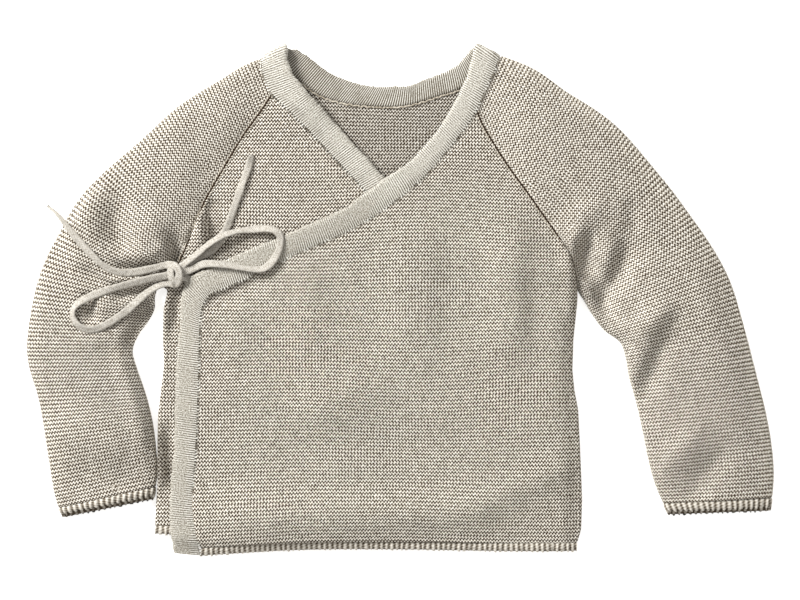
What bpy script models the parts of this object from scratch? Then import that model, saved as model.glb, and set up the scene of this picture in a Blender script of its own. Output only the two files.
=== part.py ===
"""Baby wrap cardigan in garter-stitch cotton, laid flat with its ties in a bow.

Sizes are in millimetres and become metres when a mesh is made. The back lies on z = 0, +Y points to the
neck and -X is the wearer's right. Sides in names are the wearer's. The left front lies over the right one.
"""
import math

import bpy
import bmesh
import numpy as np
from mathutils.geometry import delaunay_2d_cdt

MM = 0.001
GARMENT = "baby_wrap_cardigan"

# Cloth
WALL = 2.2                # garter-stitch panel
BAND = 3.2                # folded fine-gauge band
GAP = 0.3                 # between layers that lie on each other
SEAM = 0.45               # a panel's edge to the sleeve or band that is linked to it
AIR = 1.3                 # slack between the back and the fronts, away from the side seams
SIDE_RISE = 25.0          # distance from a side seam over which that slack opens
STEP_RUN = 14.0           # length of the ramp where the left front comes down off the right front's band
STEP_LAP = 2.5            # how far past that band's edge the ramp begins
HEM_DROOP = 0.40          # share of its height that the left front loses past the shorter hem beneath
HEM_RUN = 9.0

# Sleeve tubes
FOLD_R = 3.4              # rounding of a sleeve's folded edges, so a tube is 6.8 high there
BULGE = 3.8               # more height at the middle of a full-width tube
FULL_WIDTH = 62.0

# Trims at the hem and cuffs
TRIM = 5.0                # height of the ribbed trim
RIB_PITCH = 3.1
RIB = 0.5                 # relief of a rib
CUFF_STEP = 2.6           # how far the cuff's lower layer shows beyond the upper one

# Ties
TIE_WIDTH = 5.2
TIE_THICK = 2.0

# Sleeve sections, cuff to neck: a point on the inner edge (the raglan above the underarm), then the outer edge
SLEEVE_RIGHT = [          # inner x, inner y, outer x, outer y
    (-147.6, -117.3, -204.0, -128.7),
    (-145.8, -105.3, -207.6, -119.7),
    (-146.4, -91.5, -210.0, -104.7),
    (-148.8, -72.9, -213.6, -81.9),
    (-153.0, -56.1, -217.2, -59.7),
    (-158.4, -40.5, -223.2, -41.7),
    (-160.8, -30.9, -225.0, -30.9),
    (-157.2, -21.3, -223.8, -18.9),
    (-151.2, -12.9, -222.0, -6.3),
    (-147.6, -5.7, -219.0, 8.1),
    (-144.0, 1.5, -213.6, 24.3),
    (-141.0, 7.5, -205.8, 38.1),
    (-135.0, 17.7, -196.8, 56.1),
    (-130.2, 27.3, -184.2, 71.1),
    (-126.0, 36.9, -171.6, 82.5),
    (-121.8, 46.5, -160.2, 92.1),
    (-118.2, 56.7, -150.0, 101.1),
    (-112.8, 66.9, -139.2, 111.9),
    (-105.0, 80.1, -126.0, 121.5),
    (-97.2, 93.3, -114.0, 128.7),
    (-90.0, 104.1, -103.8, 134.7),
    (-82.8, 113.7, -95.4, 140.7),
    (-77.4, 121.7, -86.4, 144.2),
]
SLEEVE_LEFT = [
    (160.2, -126.9, 223.2, -124.5),
    (154.2, -113.7, 225.0, -108.3),
    (149.4, -97.5, 223.8, -89.7),
    (145.8, -79.5, 220.8, -71.1),
    (141.6, -60.9, 216.0, -51.3),
    (137.4, -45.9, 211.8, -35.1),
    (135.6, -35.1, 208.2, -20.7),
    (132.0, -25.5, 204.0, -6.3),
    (123.0, -18.9, 200.4, 6.9),
    (116.4, -10.5, 193.8, 21.3),
    (111.0, -1.5, 184.8, 36.3),
    (106.2, 6.9, 174.0, 51.3),
    (104.4, 18.9, 163.2, 66.3),
    (102.0, 26.7, 154.2, 77.1),
    (97.8, 33.9, 145.2, 87.9),
    (92.4, 41.7, 135.6, 99.3),
    (84.6, 52.5, 123.6, 110.1),
    (76.2, 64.5, 111.0, 118.5),
    (66.6, 77.7, 97.8, 126.3),
    (57.6, 91.5, 85.2, 136.5),
    (49.8, 104.7, 71.4, 143.1),
    (46.4, 112.2, 62.0, 146.4),
]
UNDERARM = 11             # the row where a sleeve's tube opens into its raglan cap
BACK_NECK_RIGHT = (-79.5, 139.0)      # where the back raglans end at the neck
BACK_NECK_LEFT = (56.0, 140.2)

# Band sections: a point on its seam, then one on its free edge
BAND_RIGHT = [            # shoulder to hem, on the right front; its lower half is under the left front
    (-82.5, 137.7, -66.0, 144.9),
    (-79.5, 129.3, -63.0, 135.9),
    (-76.2, 121.5, -59.4, 129.3),
    (-67.2, 113.7, -54.0, 125.7),
    (-51.6, 98.7, -40.8, 108.9),
    (-36.0, 81.9, -25.8, 91.5),
    (-19.8, 65.1, -9.0, 73.5),
    (-4.8, 51.3, 4.2, 61.5),
    (16.8, 36.9, 24.0, 48.3),
    (46.8, 23.1, 52.8, 36.3),
    (69.0, 14.1, 76.8, 27.3),
    (78.0, 3.3, 91.8, 15.3),
    (79.2, -11.1, 93.6, -3.9),
    (79.2, -60.3, 93.6, -60.3),
    (79.2, -149.7, 93.6, -149.7),
]
BAND_LEFT = [             # shoulder to the tie corner, then down to the hem
    (57.0, 138.3, 43.2, 143.7),
    (51.6, 127.5, 39.0, 132.3),
    (45.6, 113.7, 33.6, 120.3),
    (36.0, 99.3, 25.8, 106.5),
    (25.8, 86.7, 16.2, 93.9),
    (15.0, 74.7, 5.4, 82.5),
    (0.0, 61.5, -8.4, 72.9),
    (-25.8, 44.1, -33.6, 54.9),
    (-56.4, 30.3, -61.8, 41.7),
    (-90.0, 14.1, -96.0, 27.3),
    (-105.6, 6.9, -112.8, 19.5),
    (-112.8, 3.9, -121.8, 15.9),
    (-116.4, 0.3, -128.4, 10.5),
    (-118.8, -5.7, -130.8, 1.5),
    (-120.0, -18.3, -132.6, -17.1),
    (-120.6, -43.5, -134.4, -43.5),
    (-122.4, -89.7, -135.3, -89.7),
    (-124.2, -120.3, -138.0, -120.3),
    (-122.4, -138.3, -137.4, -139.5),
    (-120.0, -153.9, -135.6, -152.7),
]
BAND_BACK = [             # right shoulder to left shoulder, lying on the floor behind the neck
    (-74.4, 139.5, -61.8, 150.6),
    (-63.0, 133.5, -54.6, 145.5),
    (-57.6, 129.3, -49.2, 141.3),
    (-49.8, 123.9, -42.0, 136.5),
    (-40.2, 120.0, -32.4, 132.3),
    (-27.0, 117.3, -20.4, 128.7),
    (-12.0, 116.1, -9.0, 127.8),
    (1.2, 116.4, 1.2, 128.1),
    (12.0, 118.8, 9.6, 130.5),
    (24.0, 122.7, 20.4, 134.4),
    (36.6, 126.9, 31.8, 139.2),
    (46.8, 133.5, 37.8, 144.9),
    (54.0, 140.1, 42.0, 149.7),
]
SHOULDER_RIGHT = (-85.2, 145.5, -68.4, 155.2)      # the folds where the band turns to the back
SHOULDER_LEFT = (60.6, 147.3, 46.2, 155.0)

# Side seams, underarm to hem
SIDE_RIGHT = [(-139.2, 5.7), (-141.6, -6.3), (-142.2, -24.3), (-141.6, -39.3), (-143.4, -54.3),
              (-145.2, -69.3), (-145.2, -108.3), (-146.4, -123.3), (-147.0, -140.7)]
SIDE_LEFT = [(106.2, -0.3), (105.0, -12.3), (103.8, -24.3), (103.2, -42.3), (104.4, -54.3),
             (106.8, -66.3), (108.0, -90.3), (109.2, -120.3), (108.6, -138.3), (106.2, -150.3)]
OVER_HEM = [(-119.4, -153.9), (-60.0, -150.3), (0.0, -149.7), (60.0, -150.6), (106.2, -150.9)]

# Largest folds and swells: start, end, height (a trough is negative) and half-width
SLEEVE_FOLDS = [          # x0, y0, x1, y1, height, half-width
    (107.0, 22.0, 119.0, 46.0, -2.2, 5.0),
    (131.0, 15.0, 140.0, 57.0, -1.6, 6.0),
    (143.0, -27.0, 163.0, -12.0, -1.4, 6.0),
    (146.0, -58.0, 153.0, -44.0, -1.0, 5.0),
    (-136.0, 24.0, -139.0, 37.0, -1.8, 5.0),
    (-150.0, 22.0, -186.0, 16.0, -1.4, 7.0),
    (-158.0, -22.0, -172.0, -14.0, -1.2, 6.0),
]
FRONT_SWELLS = [
    (-60.0, 5.0, -35.0, -95.0, 1.2, 17.0),
    (15.0, 25.0, 30.0, -70.0, 0.9, 19.0),
    (75.0, 60.0, 66.0, -20.0, 1.0, 15.0),
    (-90.0, -60.0, -80.0, -130.0, 0.8, 15.0),
    (60.0, -70.0, 40.0, -130.0, 0.8, 18.0),
]

# Tie routes, by hand: each lies on the cloth below it
LOOP_INNER = [            # over the left front: out along the top, back along the bottom
    (-128.0, 21.9, 10.4), (-122.5, 26.2, 10.2), (-113.5, 33.6, 10.8), (-105.5, 38.3, 10.9),
    (-98.0, 40.6, 9.6), (-90.0, 41.7, 8.6), (-81.5, 42.3, 9.6), (-75.4, 41.6, 11.4),
    (-71.6, 38.6, 12.0), (-71.4, 33.9, 12.1), (-73.0, 27.6, 12.1), (-76.8, 21.9, 12.1),
    (-80.8, 18.6, 12.0), (-86.0, 17.9, 12.0), (-94.0, 18.9, 12.0), (-102.0, 20.3, 12.1),
    (-110.5, 21.3, 12.0), (-117.5, 21.2, 10.6), (-123.0, 18.9, 9.4),
]
LOOP_OUTER = [            # over the right sleeve
    (-139.4, 14.4, 10.0), (-146.5, 13.2, 10.3), (-153.5, 11.4, 10.8), (-162.0, 9.2, 11.3),
    (-170.4, 6.9, 11.7), (-178.5, 4.3, 11.9), (-186.0, 1.2, 12.0), (-191.8, -2.0, 12.0),
    (-195.2, -6.0, 11.9), (-195.3, -10.8, 11.9), (-192.2, -15.4, 12.0), (-187.0, -18.0, 12.0),
    (-180.8, -17.4, 11.8), (-173.5, -13.8, 11.3), (-167.0, -9.6, 10.9), (-160.5, -4.4, 10.7),
    (-154.8, 1.0, 10.2), (-149.0, 5.6, 9.5), (-142.5, 9.0, 8.8),
]
TAIL_UPPER = [            # from under the inner loop, up over the right front
    (-122.4, 24.5, 7.5), (-117.0, 27.0, 7.3), (-111.6, 30.4, 7.3), (-107.6, 36.2, 7.4),
    (-104.6, 41.2, 7.4), (-102.2, 46.8, 7.3), (-100.0, 53.4, 7.2), (-97.7, 60.0, 7.2),
    (-95.3, 67.0, 7.2), (-92.8, 74.0, 7.2), (-90.6, 80.4, 7.2), (-88.7, 86.8, 7.2),
]
TAIL_OUTER = [            # over the right sleeve and down past its edge
    (-139.4, 20.6, 9.0), (-146.0, 19.0, 9.5), (-152.5, 17.5, 10.0), (-159.0, 16.3, 10.6),
    (-166.0, 16.0, 11.0), (-172.5, 17.6, 11.1), (-178.5, 21.2, 11.3), (-184.0, 26.6, 11.4),
    (-189.5, 32.4, 11.1), (-194.6, 38.3, 10.5), (-199.4, 44.0, 9.4), (-203.8, 49.2, 7.2),
    (-207.6, 52.9, 4.4), (-211.6, 56.0, 1.8),
]
LEAD_SIDE = [(-135.8, 26.6, 9.3), (-138.4, 26.9, 8.8), (-141.6, 25.6, 8.6)]     # from the side seam's top
KNOT_CENTRE = (-132.8, 15.6, 9.8)
KNOT_SIZE = (9.0, 16.0, 6.6)
KNOT_TURN = -20.0

COLOURS = {
    "garter_cotton": ((0.47, 0.42, 0.345, 1.0), 0.92),
    "band_cotton": ((0.56, 0.51, 0.43, 1.0), 0.88),
    "tie_cotton": ((0.62, 0.58, 0.49, 1.0), 0.9),
}


# ---------------------------------------------------------------- curves and distances

def smooth(share):
    """0 to 1 with level ends."""
    share = np.clip(share, 0.0, 1.0)
    return share * share * (3.0 - 2.0 * share)


def through(rows, spacing):
    """Rows read from a smooth curve through the given ones, about `spacing` apart; the given ones stay in."""
    rows = np.array(rows, float)
    half = rows.shape[1] // 2 if rows.shape[1] > 3 else rows.shape[1]
    mids = rows[:, :half] if half == rows.shape[1] else (rows[:, :half] + rows[:, half:]) / 2.0
    run = np.concatenate([[0.0], np.cumsum(np.linalg.norm(np.diff(mids, axis=0), axis=1))])
    slope = np.diff(rows, axis=0) / np.diff(run)[:, None]
    tangent = np.vstack([slope[:1], (slope[1:] + slope[:-1]) / 2.0, slope[-1:]])
    out = []
    for i in range(len(rows) - 1):
        span = run[i + 1] - run[i]
        count = max(1, int(round(span / spacing)))
        for k in range(count):
            t = k / count
            out.append((2 * t ** 3 - 3 * t ** 2 + 1) * rows[i] + (t ** 3 - 2 * t ** 2 + t) * span * tangent[i]
                       + (3 * t ** 2 - 2 * t ** 3) * rows[i + 1] + (t ** 3 - t ** 2) * span * tangent[i + 1])
    out.append(rows[-1])
    return np.array(out)


def distance(line, x, y):
    """Shortest distance from each point to a polyline."""
    best = np.full(np.shape(x), 1e9)
    for (ax, ay), (bx, by) in zip(line[:-1], line[1:]):
        length2 = (bx - ax) ** 2 + (by - ay) ** 2
        t = np.clip(((x - ax) * (bx - ax) + (y - ay) * (by - ay)) / length2, 0.0, 1.0)
        best = np.minimum(best, np.hypot(x - ax - t * (bx - ax), y - ay - t * (by - ay)))
    return best


def inside(ring, x, y):
    """True where a point lies in a closed outline."""
    hit = np.zeros(np.shape(x), bool)
    for (ax, ay), (bx, by) in zip(ring, np.roll(ring, -1, axis=0)):
        if ay == by:
            continue
        crosses = (ay > y) != (by > y)
        hit ^= crosses & (x < ax + (y - ay) * (bx - ax) / (by - ay))
    return hit


def folds(table, x, y):
    """Sum of the soft troughs and swells at each point."""
    total = np.zeros(np.shape(x))
    for x0, y0, x1, y1, height, width in table:
        total = total + height * np.exp(-(distance([(x0, y0), (x1, y1)], x, y) / width) ** 2)
    return total


# ---------------------------------------------------------------- heights of the layers

UNDER_REGION = np.array([(r[2], r[3]) for r in BAND_RIGHT] + SIDE_RIGHT[::-1]
                        + [SHOULDER_RIGHT[:2], SHOULDER_RIGHT[2:]])


def under_level(x, y):
    """Lower face of the right front and its band: on the back, with a little air inside the side seams."""
    side = np.minimum(distance(SIDE_RIGHT, x, y), distance(SIDE_LEFT, x, y))
    return WALL + GAP + AIR * smooth(side / SIDE_RISE)


def under_hem(x):
    """The shorter hem of the back and right front, which rises towards the wearer's right."""
    (ax, ay), (bx, by) = SIDE_RIGHT[-1], SIDE_LEFT[-1]
    return ay + (by - ay) * (x - ax) / (bx - ax)


def over_level(x, y):
    """Lower face of the left front and its band: stepped up on the right front, and soft beyond its edges."""
    edge = np.vstack([UNDER_REGION, UNDER_REGION[:1]])
    off = np.where(inside(UNDER_REGION, x, y), 0.0, distance(edge, x, y) - STEP_LAP)
    level = under_level(x, y) + (BAND + GAP) * (1.0 - smooth(off / STEP_RUN)) + folds(FRONT_SWELLS, x, y)
    return level * (1.0 - HEM_DROOP * smooth((under_hem(x) - y) / HEM_RUN))


# ---------------------------------------------------------------- making solids

def start_scene():
    """An empty scene with one collection for the garment."""
    for item in list(bpy.data.objects):
        bpy.data.objects.remove(item, do_unlink=True)
    made = bpy.data.collections.new(GARMENT)
    bpy.context.scene.collection.children.link(made)


def material(slot):
    """One Principled material a cloth."""
    found = bpy.data.materials.get(slot)
    if found:
        return found
    colour, roughness = COLOURS[slot]
    made = bpy.data.materials.new(slot)
    made.use_nodes = True
    shader = made.node_tree.nodes["Principled BSDF"]
    shader.inputs["Base Color"].default_value = colour
    shader.inputs["Roughness"].default_value = roughness
    shader.inputs["Metallic"].default_value = 0.0
    return made


def add_object(name, data, slot):
    made = bpy.data.objects.new(name, data)
    data.materials.append(material(slot))
    bpy.data.collections[GARMENT].objects.link(made)
    return made


def add_mesh(name, bm, slot):
    """A mesh object from a bmesh in millimetres, smooth-shaded apart from its sharp rims."""
    bmesh.ops.scale(bm, vec=(MM, MM, MM), verts=bm.verts)
    data = bpy.data.meshes.new(name)
    bm.to_mesh(data)
    bm.free()
    data.shade_smooth()
    data.set_sharp_from_angle(angle=math.radians(50.0))
    return add_object(name, data, slot)


def inset(ring, depth):
    """An outline moved in by `depth` along each corner's bisector."""
    ring = np.array(ring, float)
    area = np.sum(ring[:, 0] * np.roll(ring[:, 1], -1) - np.roll(ring[:, 0], -1) * ring[:, 1])
    back = ring - np.roll(ring, 1, axis=0)
    ahead = np.roll(ring, -1, axis=0) - ring
    back /= np.linalg.norm(back, axis=1)[:, None]
    ahead /= np.linalg.norm(ahead, axis=1)[:, None]
    turn = np.sign(area)
    bisector = np.column_stack([-(back + ahead)[:, 1], (back + ahead)[:, 0]]) * turn
    bisector /= np.linalg.norm(bisector, axis=1)[:, None]
    square = np.column_stack([-back[:, 1], back[:, 0]]) * turn
    lean = np.maximum(np.sum(bisector * square, axis=1), 0.5)
    return ring + bisector * (depth / lean)[:, None]


def panel(name, ring, level, spacing, slot):
    """A flat-laid panel: its outline filled with an even net, set at its level and given the wall upwards."""
    ring = inset(ring, SEAM)
    low, high = ring.min(axis=0), ring.max(axis=0)
    xs = np.arange(low[0], high[0], spacing)
    ys = np.arange(low[1], high[1], spacing)
    grid = np.array([(x, y) for y in ys for x in xs])
    closed = np.vstack([ring, ring[:1]])
    keep = inside(ring, grid[:, 0], grid[:, 1]) & (distance(closed, grid[:, 0], grid[:, 1]) > 0.5 * spacing)
    points = [tuple(p) for p in np.vstack([ring, grid[keep]])]
    edges = [(i, (i + 1) % len(ring)) for i in range(len(ring))]
    filled = delaunay_2d_cdt(points, edges, [], 1, 1e-6)
    flat = np.array([tuple(v) for v in filled[0]])
    heights = level(flat[:, 0], flat[:, 1]) if level else np.zeros(len(flat))
    bm = bmesh.new()
    verts = [bm.verts.new((x, y, z)) for (x, y), z in zip(flat, heights)]
    for face in filled[2]:
        bm.faces.new([verts[i] for i in face])
    raised = bmesh.ops.extrude_face_region(bm, geom=bm.faces[:], use_keep_orig=True)["geom"]
    moved = [v for v in raised if isinstance(v, bmesh.types.BMVert)]
    bmesh.ops.translate(bm, verts=moved, vec=(0.0, 0.0, WALL))
    bmesh.ops.recalc_face_normals(bm, faces=bm.faces)
    return add_mesh(name, bm, slot)


def loft(name, rings, slot, round_path=False):
    """A solid through closed sections that all have the same number of points."""
    bm = bmesh.new()
    loops = [[bm.verts.new(p) for p in ring] for ring in rings]
    pairs = list(zip(loops[:-1], loops[1:]))
    if round_path:
        pairs.append((loops[-1], loops[0]))
    for near, far in pairs:
        for i in range(len(near)):
            j = (i + 1) % len(near)
            bm.faces.new((near[i], near[j], far[j], far[i]))
    if not round_path:
        bm.faces.new(loops[0][::-1])
        bm.faces.new(loops[-1])
    bmesh.ops.recalc_face_normals(bm, faces=bm.faces)
    return add_mesh(name, bm, slot)


# ---------------------------------------------------------------- sleeves

def back_points(table, neck):
    """The back raglan: the front one, drawn up to the back neck."""
    inner = np.array([row[:2] for row in table], float)
    rise = np.array(neck) - inner[-1]
    share = np.clip((np.arange(len(table)) - UNDERARM) / (len(table) - 1 - UNDERARM), 0.0, 1.0)
    return inner + rise * (share ** 2)[:, None]


def section(inner, outer, back, level, depth=0.0, arc=2, flat=3, top=7):
    """One round of a sleeve from the inner edge, under, round the outer fold and back over the top.

    level is the lower face of the front that it is linked to, or None where the tube is closed.
    depth moves the round inwards, through the wall.
    """
    inner, outer, back = (np.array(p, float) for p in (inner, outer, back))
    width = np.linalg.norm(outer - inner)
    across = (outer - inner) / width
    back_width = np.linalg.norm(outer - back)
    back_across = (outer - back) / back_width
    radius = FOLD_R - depth
    bulge = BULGE * min(1.0, width / FULL_WIDTH)

    def crown(s):
        share = np.clip((s - FOLD_R) / (width - 2.0 * FOLD_R), 0.0, 1.0) if level is None else \
            np.clip(s / (width - FOLD_R), 0.0, 1.0)
        rim = 2.0 * FOLD_R if level is None else \
            level + WALL + (2.0 * FOLD_R - level - WALL) * smooth(share * 2.0)
        x, y = inner + across * s
        fold = folds(SLEEVE_FOLDS, np.array([x]), np.array([y]))[0] * math.sin(math.pi * share) ** 0.5
        return rim + bulge * math.sin(math.pi * share) ** 0.8 + fold - depth

    points = []
    for k in range(arc + 1):                       # inner edge, lower half
        angle = math.pi / 2.0 * k / arc
        if level is None:
            flat_at = inner + across * (FOLD_R - radius * math.cos(angle))
            points.append((*flat_at, FOLD_R - radius * math.sin(angle)))
        else:
            flat_at = back + back_across * (FOLD_R * k / arc)
            points.append((*flat_at, depth))
    start, along, reach = (inner, across, width) if level is None else (back, back_across, back_width)
    for k in range(1, flat + 1):
        s = FOLD_R + (reach - 2.0 * FOLD_R) * k / (flat + 1)
        points.append((*(start + along * s), depth))
    for k in range(2 * arc + 1):                   # outer fold
        angle = math.pi * (k / (2.0 * arc) - 0.5)
        blend = k / (2.0 * arc)
        side = (back_across * (1.0 - blend) + across * blend)
        side = side / np.linalg.norm(side)
        centre = outer - side * FOLD_R
        points.append((*(centre + side * radius * math.cos(angle)), FOLD_R + radius * math.sin(angle)))
    for k in range(1, top + 1):
        s = width - FOLD_R - (width - 2.0 * FOLD_R) * k / (top + 1)
        points.append((*(inner + across * s), crown(s)))
    for k in range(arc + 1):                       # inner edge, upper half
        angle = math.pi / 2.0 * (1.0 - k / arc)
        if level is None:
            flat_at = inner + across * (FOLD_R - radius * math.cos(angle))
            points.append((*flat_at, FOLD_R + radius * math.sin(angle)))
        else:
            s = FOLD_R * (1.0 - k / arc)
            points.append((*(inner + across * s), crown(s)))
    return points


def sleeve(name, table, neck, level):
    """A flattened tube to the underarm and an open raglan cap above it, from one open surface."""
    backs = back_points(table, neck)
    table = [list(row) for row in table]
    first, second = np.array(table[0]), np.array(table[1])
    share = (TRIM + GAP) / np.linalg.norm((second - first)[:2])
    table[0] = list(first + (second - first) * share)
    bm = bmesh.new()
    rounds = []
    for i, row in enumerate(table):
        at_neck = None if i <= UNDERARM else float(level(np.array([row[0]]), np.array([row[1]]))[0])
        back = row[:2] if i <= UNDERARM else backs[i]
        points = section(row[:2], row[2:], back, at_neck)
        if at_neck is None:
            points.pop()
        verts = [bm.verts.new(p) for p in points]
        if at_neck is None:
            verts.append(verts[0])
        rounds.append(verts)
    for near, far in zip(rounds[:-1], rounds[1:]):
        for j in range(len(near) - 1):
            bm.faces.new((near[j], near[j + 1], far[j + 1], far[j]))
    bm.normal_update()
    lowest = min(bm.faces, key=lambda f: f.calc_center_median().z)
    if lowest.normal.z > 0.0:
        bmesh.ops.reverse_faces(bm, faces=bm.faces)
    made = add_mesh(name, bm, "garter_cotton")
    wall = made.modifiers.new("wall", "SOLIDIFY")
    wall.thickness = WALL * MM
    wall.offset = -1.0
    return made


def cuff_trim(name, table):
    """A ribbed ring at the cuff, whose lower layer reaches a little further than the upper."""
    first, second = np.array(table[0]), np.array(table[1])
    run = np.linalg.norm((second - first)[:2])
    down = -((second - first)[:2] + (second - first)[2:]) / 2.0
    down = down / np.linalg.norm(down)
    upper = first + (second - first) * TRIM / run

    def around(row, depth, count):
        outline = np.array(section(row[:2], row[2:], row[:2], None, depth, arc=6, flat=12, top=24))
        steps = np.linalg.norm(np.diff(outline, axis=0), axis=1)
        run_at = np.concatenate([[0.0], np.cumsum(steps)])
        at = np.linspace(0.0, run_at[-1], count + 1)[:-1]
        return np.column_stack([np.interp(at, run_at, outline[:, k]) for k in range(3)])

    ribs = int(round(2.0 * np.linalg.norm((first[2:] - first[:2])) / RIB_PITCH))
    count = 2 * ribs
    top_out, low_out = around(upper, 0.25, count), around(first, 0.25, count)
    top_in, low_in = around(upper, WALL, count), around(first, WALL - 0.2, count)
    rings = []
    for k in range(count):
        under = 1.0 - smooth((low_out[k][2] - 1.0) / 4.0)
        reach = np.array([*(down * CUFF_STEP * under), 0.0])
        middle = (top_out[k] + low_out[k] + reach) / 2.0
        outward = (middle - (top_in[k] + low_in[k] + reach) / 2.0)
        outward = outward / np.linalg.norm(outward) * RIB * (k % 2) * (1.0 - under)
        rings.append([top_in[k], top_out[k], middle + outward, low_out[k] + reach + outward * 0.6,
                      low_in[k] + reach])
    rings = [[(p[0], p[1], max(p[2], 0.0) if p[2] > 0.3 else 0.0) for p in ring] for ring in rings]
    return loft(name, rings, "garter_cotton", round_path=True)


# ---------------------------------------------------------------- band

BAND_PROFILE = [          # share from seam to free edge, height in band thicknesses
    (0.00, 0.34), (0.22, 0.50), (0.60, 0.50), (0.90, 0.42), (1.00, 0.12), (1.00, -0.22), (0.92, -0.50),
    (0.50, -0.50), (0.10, -0.50), (0.00, -0.40),
]


def shoulder_fold(row, front_mid, to_back):
    """Half a turn of the band over the shoulder, between its front height and the back band's."""
    seam, free = np.array(row[:2]), np.array(row[2:])
    along = (free - seam) / np.linalg.norm(free - seam)
    out = np.array([-along[1], along[0]])
    if out[1] < 0.0:
        out = -out
    back_mid = BAND / 2.0
    radius = (front_mid - back_mid) / 2.0
    base = -out * (radius + BAND / 2.0)
    rows = []
    for k in range(5):
        angle = math.pi * k / 4.0
        shift = base + out * radius * math.sin(angle)
        height = (front_mid + back_mid) / 2.0 + radius * math.cos(angle)
        rows.append((*(seam + shift), height, *(free + shift), height))
    return rows if to_back else rows[::-1]


def with_height(rows, level):
    """Band sections with the height of their middle added to both edges."""
    out = []
    for sx, sy, fx, fy in rows:
        heights = level(np.array([sx, fx]), np.array([sy, fy])) + BAND / 2.0
        out.append((sx, sy, heights[0], fx, fy, heights[1]))
    return out


def band_rows():
    """Sections of the whole band: up the right front, round the back neck, down the left front."""
    front_mid = WALL + GAP + AIR + BAND / 2.0
    right = with_height(through(BAND_RIGHT, 9.0)[::-1], under_level)
    back = [(r[0], r[1], BAND / 2.0, r[2], r[3], BAND / 2.0) for r in through(BAND_BACK, 9.0)]
    left = with_height(through(BAND_LEFT, 9.0), over_level)
    return (right, shoulder_fold(SHOULDER_RIGHT, front_mid, True), back,
            shoulder_fold(SHOULDER_LEFT, front_mid, False), left)


def neck_band():
    """One folded strip with a puffed free edge, swept along its sections."""
    rows = np.array([row for part in band_rows() for row in part])
    centres = (rows[:, :3] + rows[:, 3:]) / 2.0
    path = np.gradient(centres, axis=0)
    rings = []
    for row, ahead in zip(rows, path):
        seam, free = row[:3], row[3:]
        face = np.cross(free - seam, ahead)
        face /= np.linalg.norm(face)
        rings.append([seam + (free - seam) * share + face * BAND * height for share, height in BAND_PROFILE])
    rings = [[(p[0], p[1], max(p[2], 0.0) if p[2] > 0.25 else 0.0) for p in ring] for ring in rings]
    return loft("neck_band", rings, "band_cotton")


# ---------------------------------------------------------------- panels and hem trims

def hem_trim(name, line, level, ribbed):
    """A strip along a hem, its upper edge on the panel and its outer face ribbed where it shows."""
    spacing = RIB_PITCH / 2.0 if ribbed else 12.0
    line = np.array(line, float)
    run = np.concatenate([[0.0], np.cumsum(np.linalg.norm(np.diff(line, axis=0), axis=1))])
    count = int(run[-1] / spacing)
    at = np.linspace(0.0, run[-1], count + 1)
    points = np.column_stack([np.interp(at, run, line[:, 0]), np.interp(at, run, line[:, 1])])
    rings = []
    for k, (x, y) in enumerate(points):
        low = level(np.array([x, x]), np.array([y, y + TRIM])) if level else np.zeros(2)
        rib = RIB if ribbed and k % 2 else 0.0
        edge = WALL * 0.75
        rings.append([(x, y + TRIM, low[1]), (x, y, low[0]), (x, y, low[0] + edge + 0.5 * rib),
                      (x, y + TRIM * 0.5, low.mean() + WALL - 0.3 + rib), (x, y + TRIM, low[1] + WALL - 0.3)])
    return loft(name, rings, "garter_cotton")


def raise_hem(line):
    """A hem line moved up to where the panel meets its trim."""
    return [(x, y + TRIM) for x, y in line]


def build_garment():
    right_raglan = [row[:2] for row in SLEEVE_RIGHT[UNDERARM:]]
    left_raglan = [row[:2] for row in SLEEVE_LEFT[UNDERARM:]]
    right_back = [tuple(p) for p in back_points(SLEEVE_RIGHT, BACK_NECK_RIGHT)[UNDERARM:]]
    left_back = [tuple(p) for p in back_points(SLEEVE_LEFT, BACK_NECK_LEFT)[UNDERARM:]]
    right_rows, _, back_rows, _, left_rows = band_rows()

    back_hem = [(x, float(under_hem(x))) for x in np.linspace(SIDE_RIGHT[-1][0], SIDE_LEFT[-1][0], 9)]
    side_right = SIDE_RIGHT[:-1]
    side_left = SIDE_LEFT[:-1]
    neck = [(r[0], r[1]) for r in back_rows if right_back[-1][0] + 3.0 < r[0] < left_back[-1][0] - 3.0]
    back_ring = raise_hem(back_hem) + side_left[::-1] + left_back + neck[::-1] + right_back[::-1] + side_right
    panel("back_panel", back_ring, None, 24.0, "garter_cotton")

    neck_edge = [(r[0], r[1]) for r in right_rows if r[1] < right_raglan[-1][1] - 2.0 and r[1] > -143.0]
    under_end = (BAND_RIGHT[-1][0], float(under_hem(BAND_RIGHT[-1][0])))
    right_hem = [p for p in back_hem if p[0] < under_end[0] - 5.0] + [under_end]
    right_ring = right_raglan + neck_edge[::-1] + raise_hem(right_hem)[::-1] + side_right[::-1]
    panel("front_right", right_ring, under_level, 17.0, "garter_cotton")

    slant = [(r[0], r[1]) for r in left_rows if left_raglan[-1][1] - 2.0 > r[1] > -146.0]
    over_hem = [tuple(p) for p in through(OVER_HEM, 12.0)]
    left_ring = slant + raise_hem(over_hem) + side_left[::-1] + left_raglan
    panel("front_left", left_ring, over_level, 12.5, "garter_cotton")

    sleeve("sleeve_right", SLEEVE_RIGHT, BACK_NECK_RIGHT, under_level)
    sleeve("sleeve_left", SLEEVE_LEFT, BACK_NECK_LEFT, over_level)
    neck_band()

    def shortened(line, start, end):
        return [(line[0][0] + start, line[0][1])] + list(line[1:-1]) + [(line[-1][0] - end, line[-1][1])]

    hem_trim("hem_trim_back", shortened(back_hem, SEAM, SEAM), None, False)
    hem_trim("hem_trim_right", shortened(right_hem, SEAM, SEAM), under_level, False)
    hem_trim("hem_trim_left", shortened(over_hem, SEAM + 1.2, SEAM), over_level, True)
    cuff_trim("cuff_trim_right", SLEEVE_RIGHT)
    cuff_trim("cuff_trim_left", SLEEVE_LEFT)


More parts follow.
